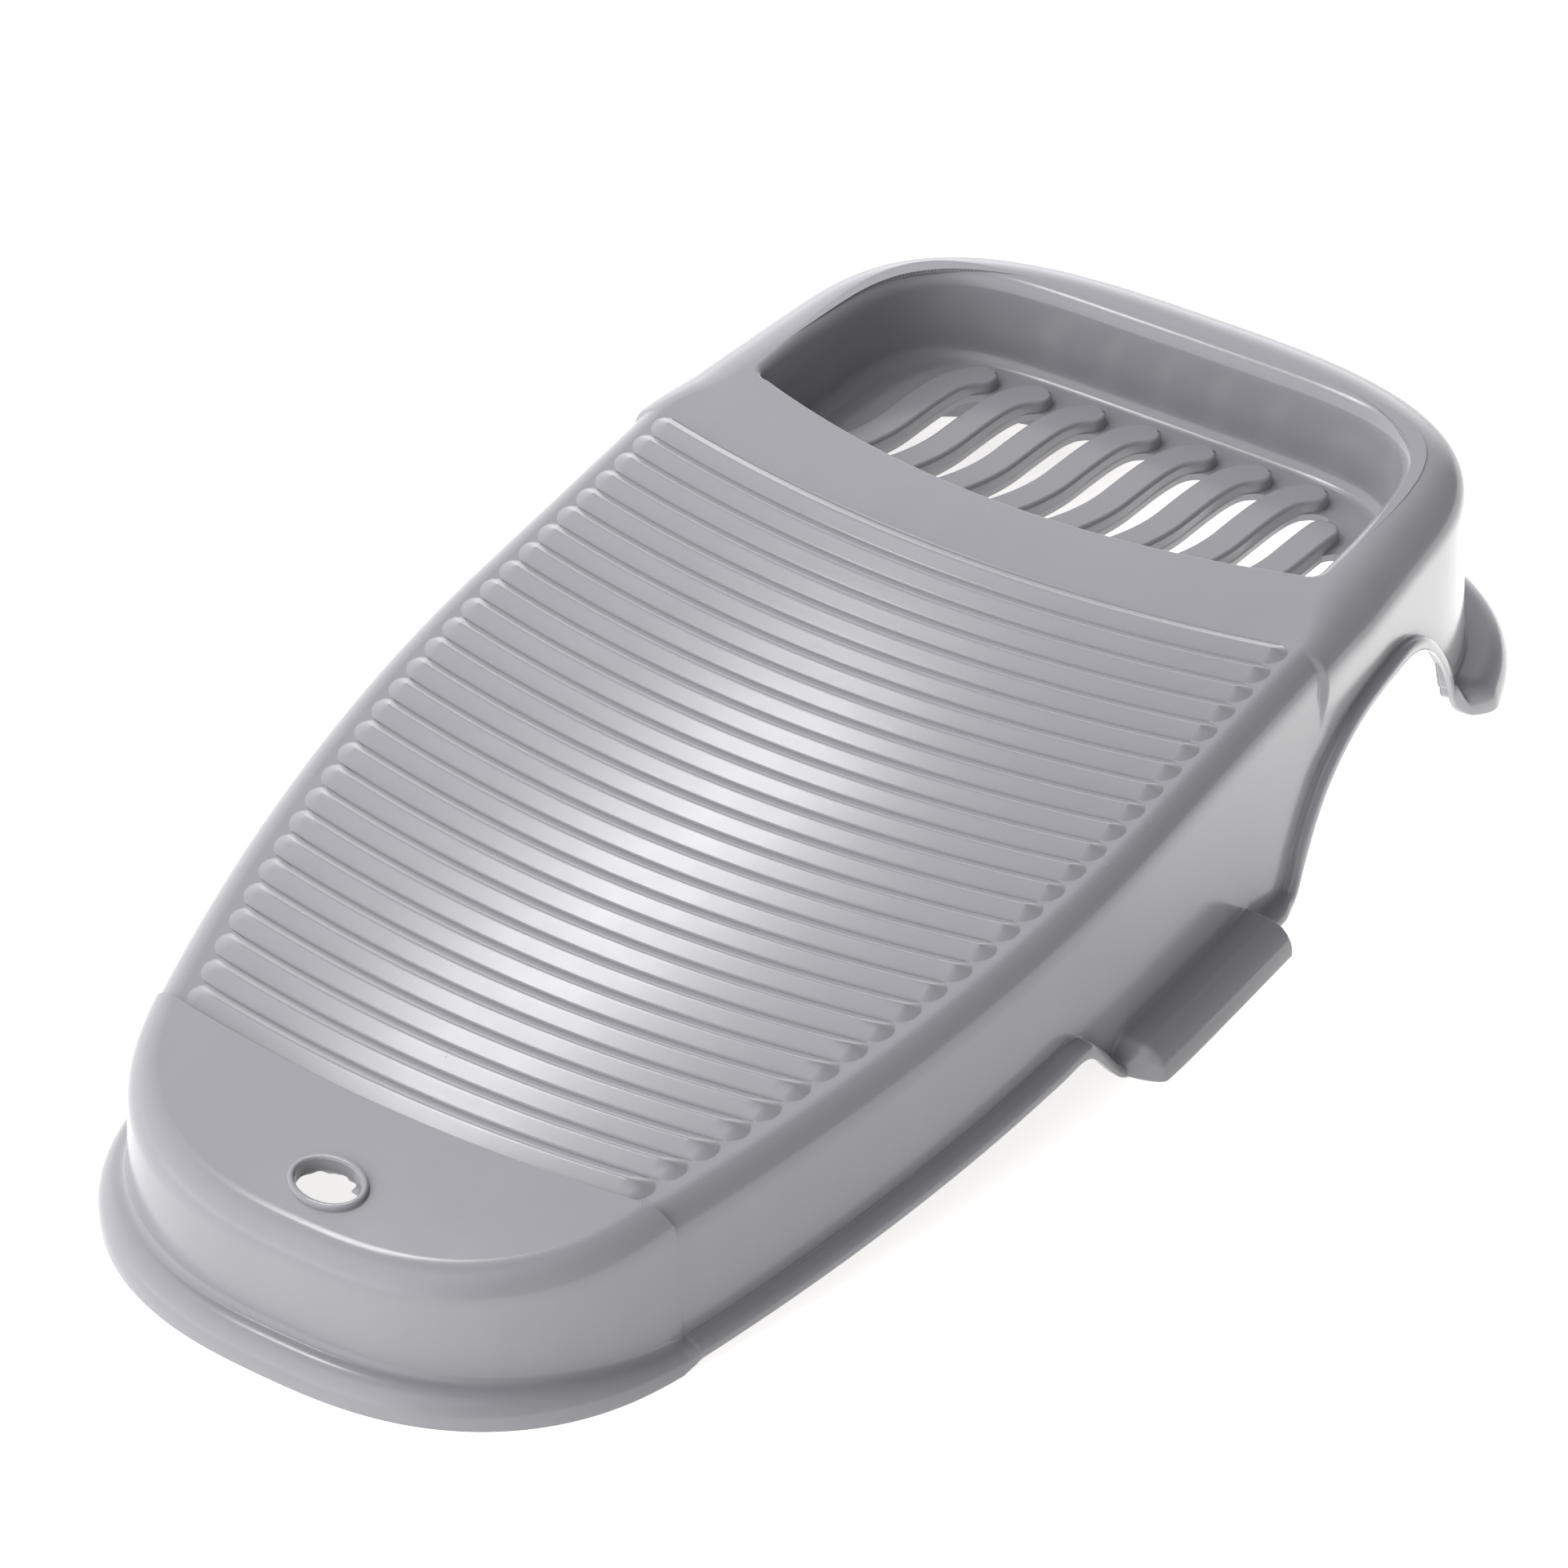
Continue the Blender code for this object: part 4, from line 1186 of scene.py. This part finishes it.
def make_stage():
    """Pale floor with a soft glow of its own, brightest beside the rear of the right side."""
    corners = [(x * FLOOR_REACH, y * FLOOR_REACH, 0.0) for x, y in ((-1, -1), (1, -1), (1, 1), (-1, 1))]
    mesh = new_mesh("floor", corners, [(0, 1, 2, 3)])
    floor = put_in_scene("floor", mesh)
    floor.location.z = -0.0002
    paint, shader, nodes = new_material("floor_diffuser")
    shader.inputs["Base Color"].default_value = (0.8, 0.8, 0.8, 1.0)
    shader.inputs["Roughness"].default_value = 0.9
    shader.inputs["Emission Color"].default_value = (1.0, 0.985, 0.95, 1.0)
    away = nodes.new("VectorMath")
    away.operation = "DISTANCE"
    away.inputs[1].default_value = GLOW_CENTRE
    nodes.link(nodes.place("Object"), away.inputs[0])
    nodes.link(nodes.between(away.outputs["Value"], *GLOW_RUN, *GLOW), shader.inputs["Emission Strength"])
    mesh.materials.append(paint)


def make_sky():
    """White studio round the board: bright left, front and rear left, dim right."""
    world = bpy.data.worlds.new("studio")
    bpy.context.scene.world = world
    world.use_nodes = True
    nodes = Nodes(world.node_tree)
    split = nodes.new("SeparateXYZ")
    nodes.link(nodes.place("Generated"), split.inputs[0])
    x, y, z = split.outputs
    left = nodes.times(nodes.between(x, -0.6, -0.05, LEFT_LIGHT, 0.0), nodes.between(z, 0.0, 0.4, 0.6, 1.0))
    front = nodes.times(nodes.between(y, -0.5, 0.0, FRONT_LIGHT, 0.0), nodes.between(x, -0.1, 0.4, 1.0, 0.1))
    low = nodes.between(nodes.maths("ABSOLUTE", z), 0.1, 0.3, HORIZON_LIGHT, 0.0)
    horizon = nodes.times(low, nodes.between(x, -0.3, 0.2, 1.0, 0.0))
    rear = nodes.times(nodes.between(y, 0.5, 0.8, 0.0, REAR_LIGHT), nodes.between(x, -0.3, 0.1, 1.0, 0.0))
    rear = nodes.times(rear, nodes.between(z, 0.25, 0.5, 1.0, 0.5))
    brightest = nodes.maths("MAXIMUM", nodes.maths("MAXIMUM", left, front), rear)
    back = world.node_tree.nodes["Background"]
    nodes.link(nodes.plus(brightest, nodes.plus(horizon, BASE_LIGHT)), back.inputs["Strength"])
    back.inputs["Color"].default_value = (0.97, 0.97, 1.0, 1.0)


def make_softbox():
    """Strip light high on the left, its longer side along the board."""
    lamp = bpy.data.lights.new("strip_softbox", "AREA")
    lamp.shape = "RECTANGLE"
    lamp.size, lamp.size_y = 0.16, 0.44
    lamp.energy = 4.5
    place = Vector((-0.868, 0.08, 1.80))
    target = Vector((0.02, -0.05, 0.06))
    along_board = Vector((0.25, 0.97, 0.0))
    ahead = (place - target).normalized()
    side = along_board.cross(ahead).normalized()
    turn = Matrix((side, ahead.cross(side), ahead)).transposed()
    put_in_scene("strip_softbox", lamp).matrix_world = Matrix.Translation(place) @ turn.to_4x4()


def make_camera():
    """Camera at the height and side from which the board is shown."""
    camera = bpy.data.cameras.new("camera")
    camera.lens = 147.6
    camera.shift_x, camera.shift_y = 0.0582, 0.01245
    camera.clip_start = 0.05
    camera.clip_end = 50.0
    made = put_in_scene("camera", camera)
    azimuth, elevation, distance = math.radians(33.92), math.radians(36.88), 1.8995
    target = Vector((0.0, -0.05499, 0.06486))
    back = Vector((math.sin(azimuth) * math.cos(elevation), -math.cos(azimuth) * math.cos(elevation),
                   math.sin(elevation)))
    made.location = target + back * distance
    made.rotation_euler = (-back).to_track_quat("-Z", "Y").to_euler()
    bpy.context.scene.camera = made


def main():
    plastics = {look: plastic(name, roughness, streak) for look, name, roughness, streak in PLASTICS}
    make_perimeter(plastics)
    make_field(plastics)
    make_apron(plastics)
    make_collar(plastics)
    make_head(plastics)
    make_tray_wall(plastics)
    make_tray_floor(plastics)
    for index in range(SLAT_COUNT):
        make_slat(index, plastics)
    make_stage()
    make_sky()
    make_softbox()
    make_camera()
    view = bpy.context.scene.view_settings
    view.view_transform = "Standard"
    view.look = "None"


main()
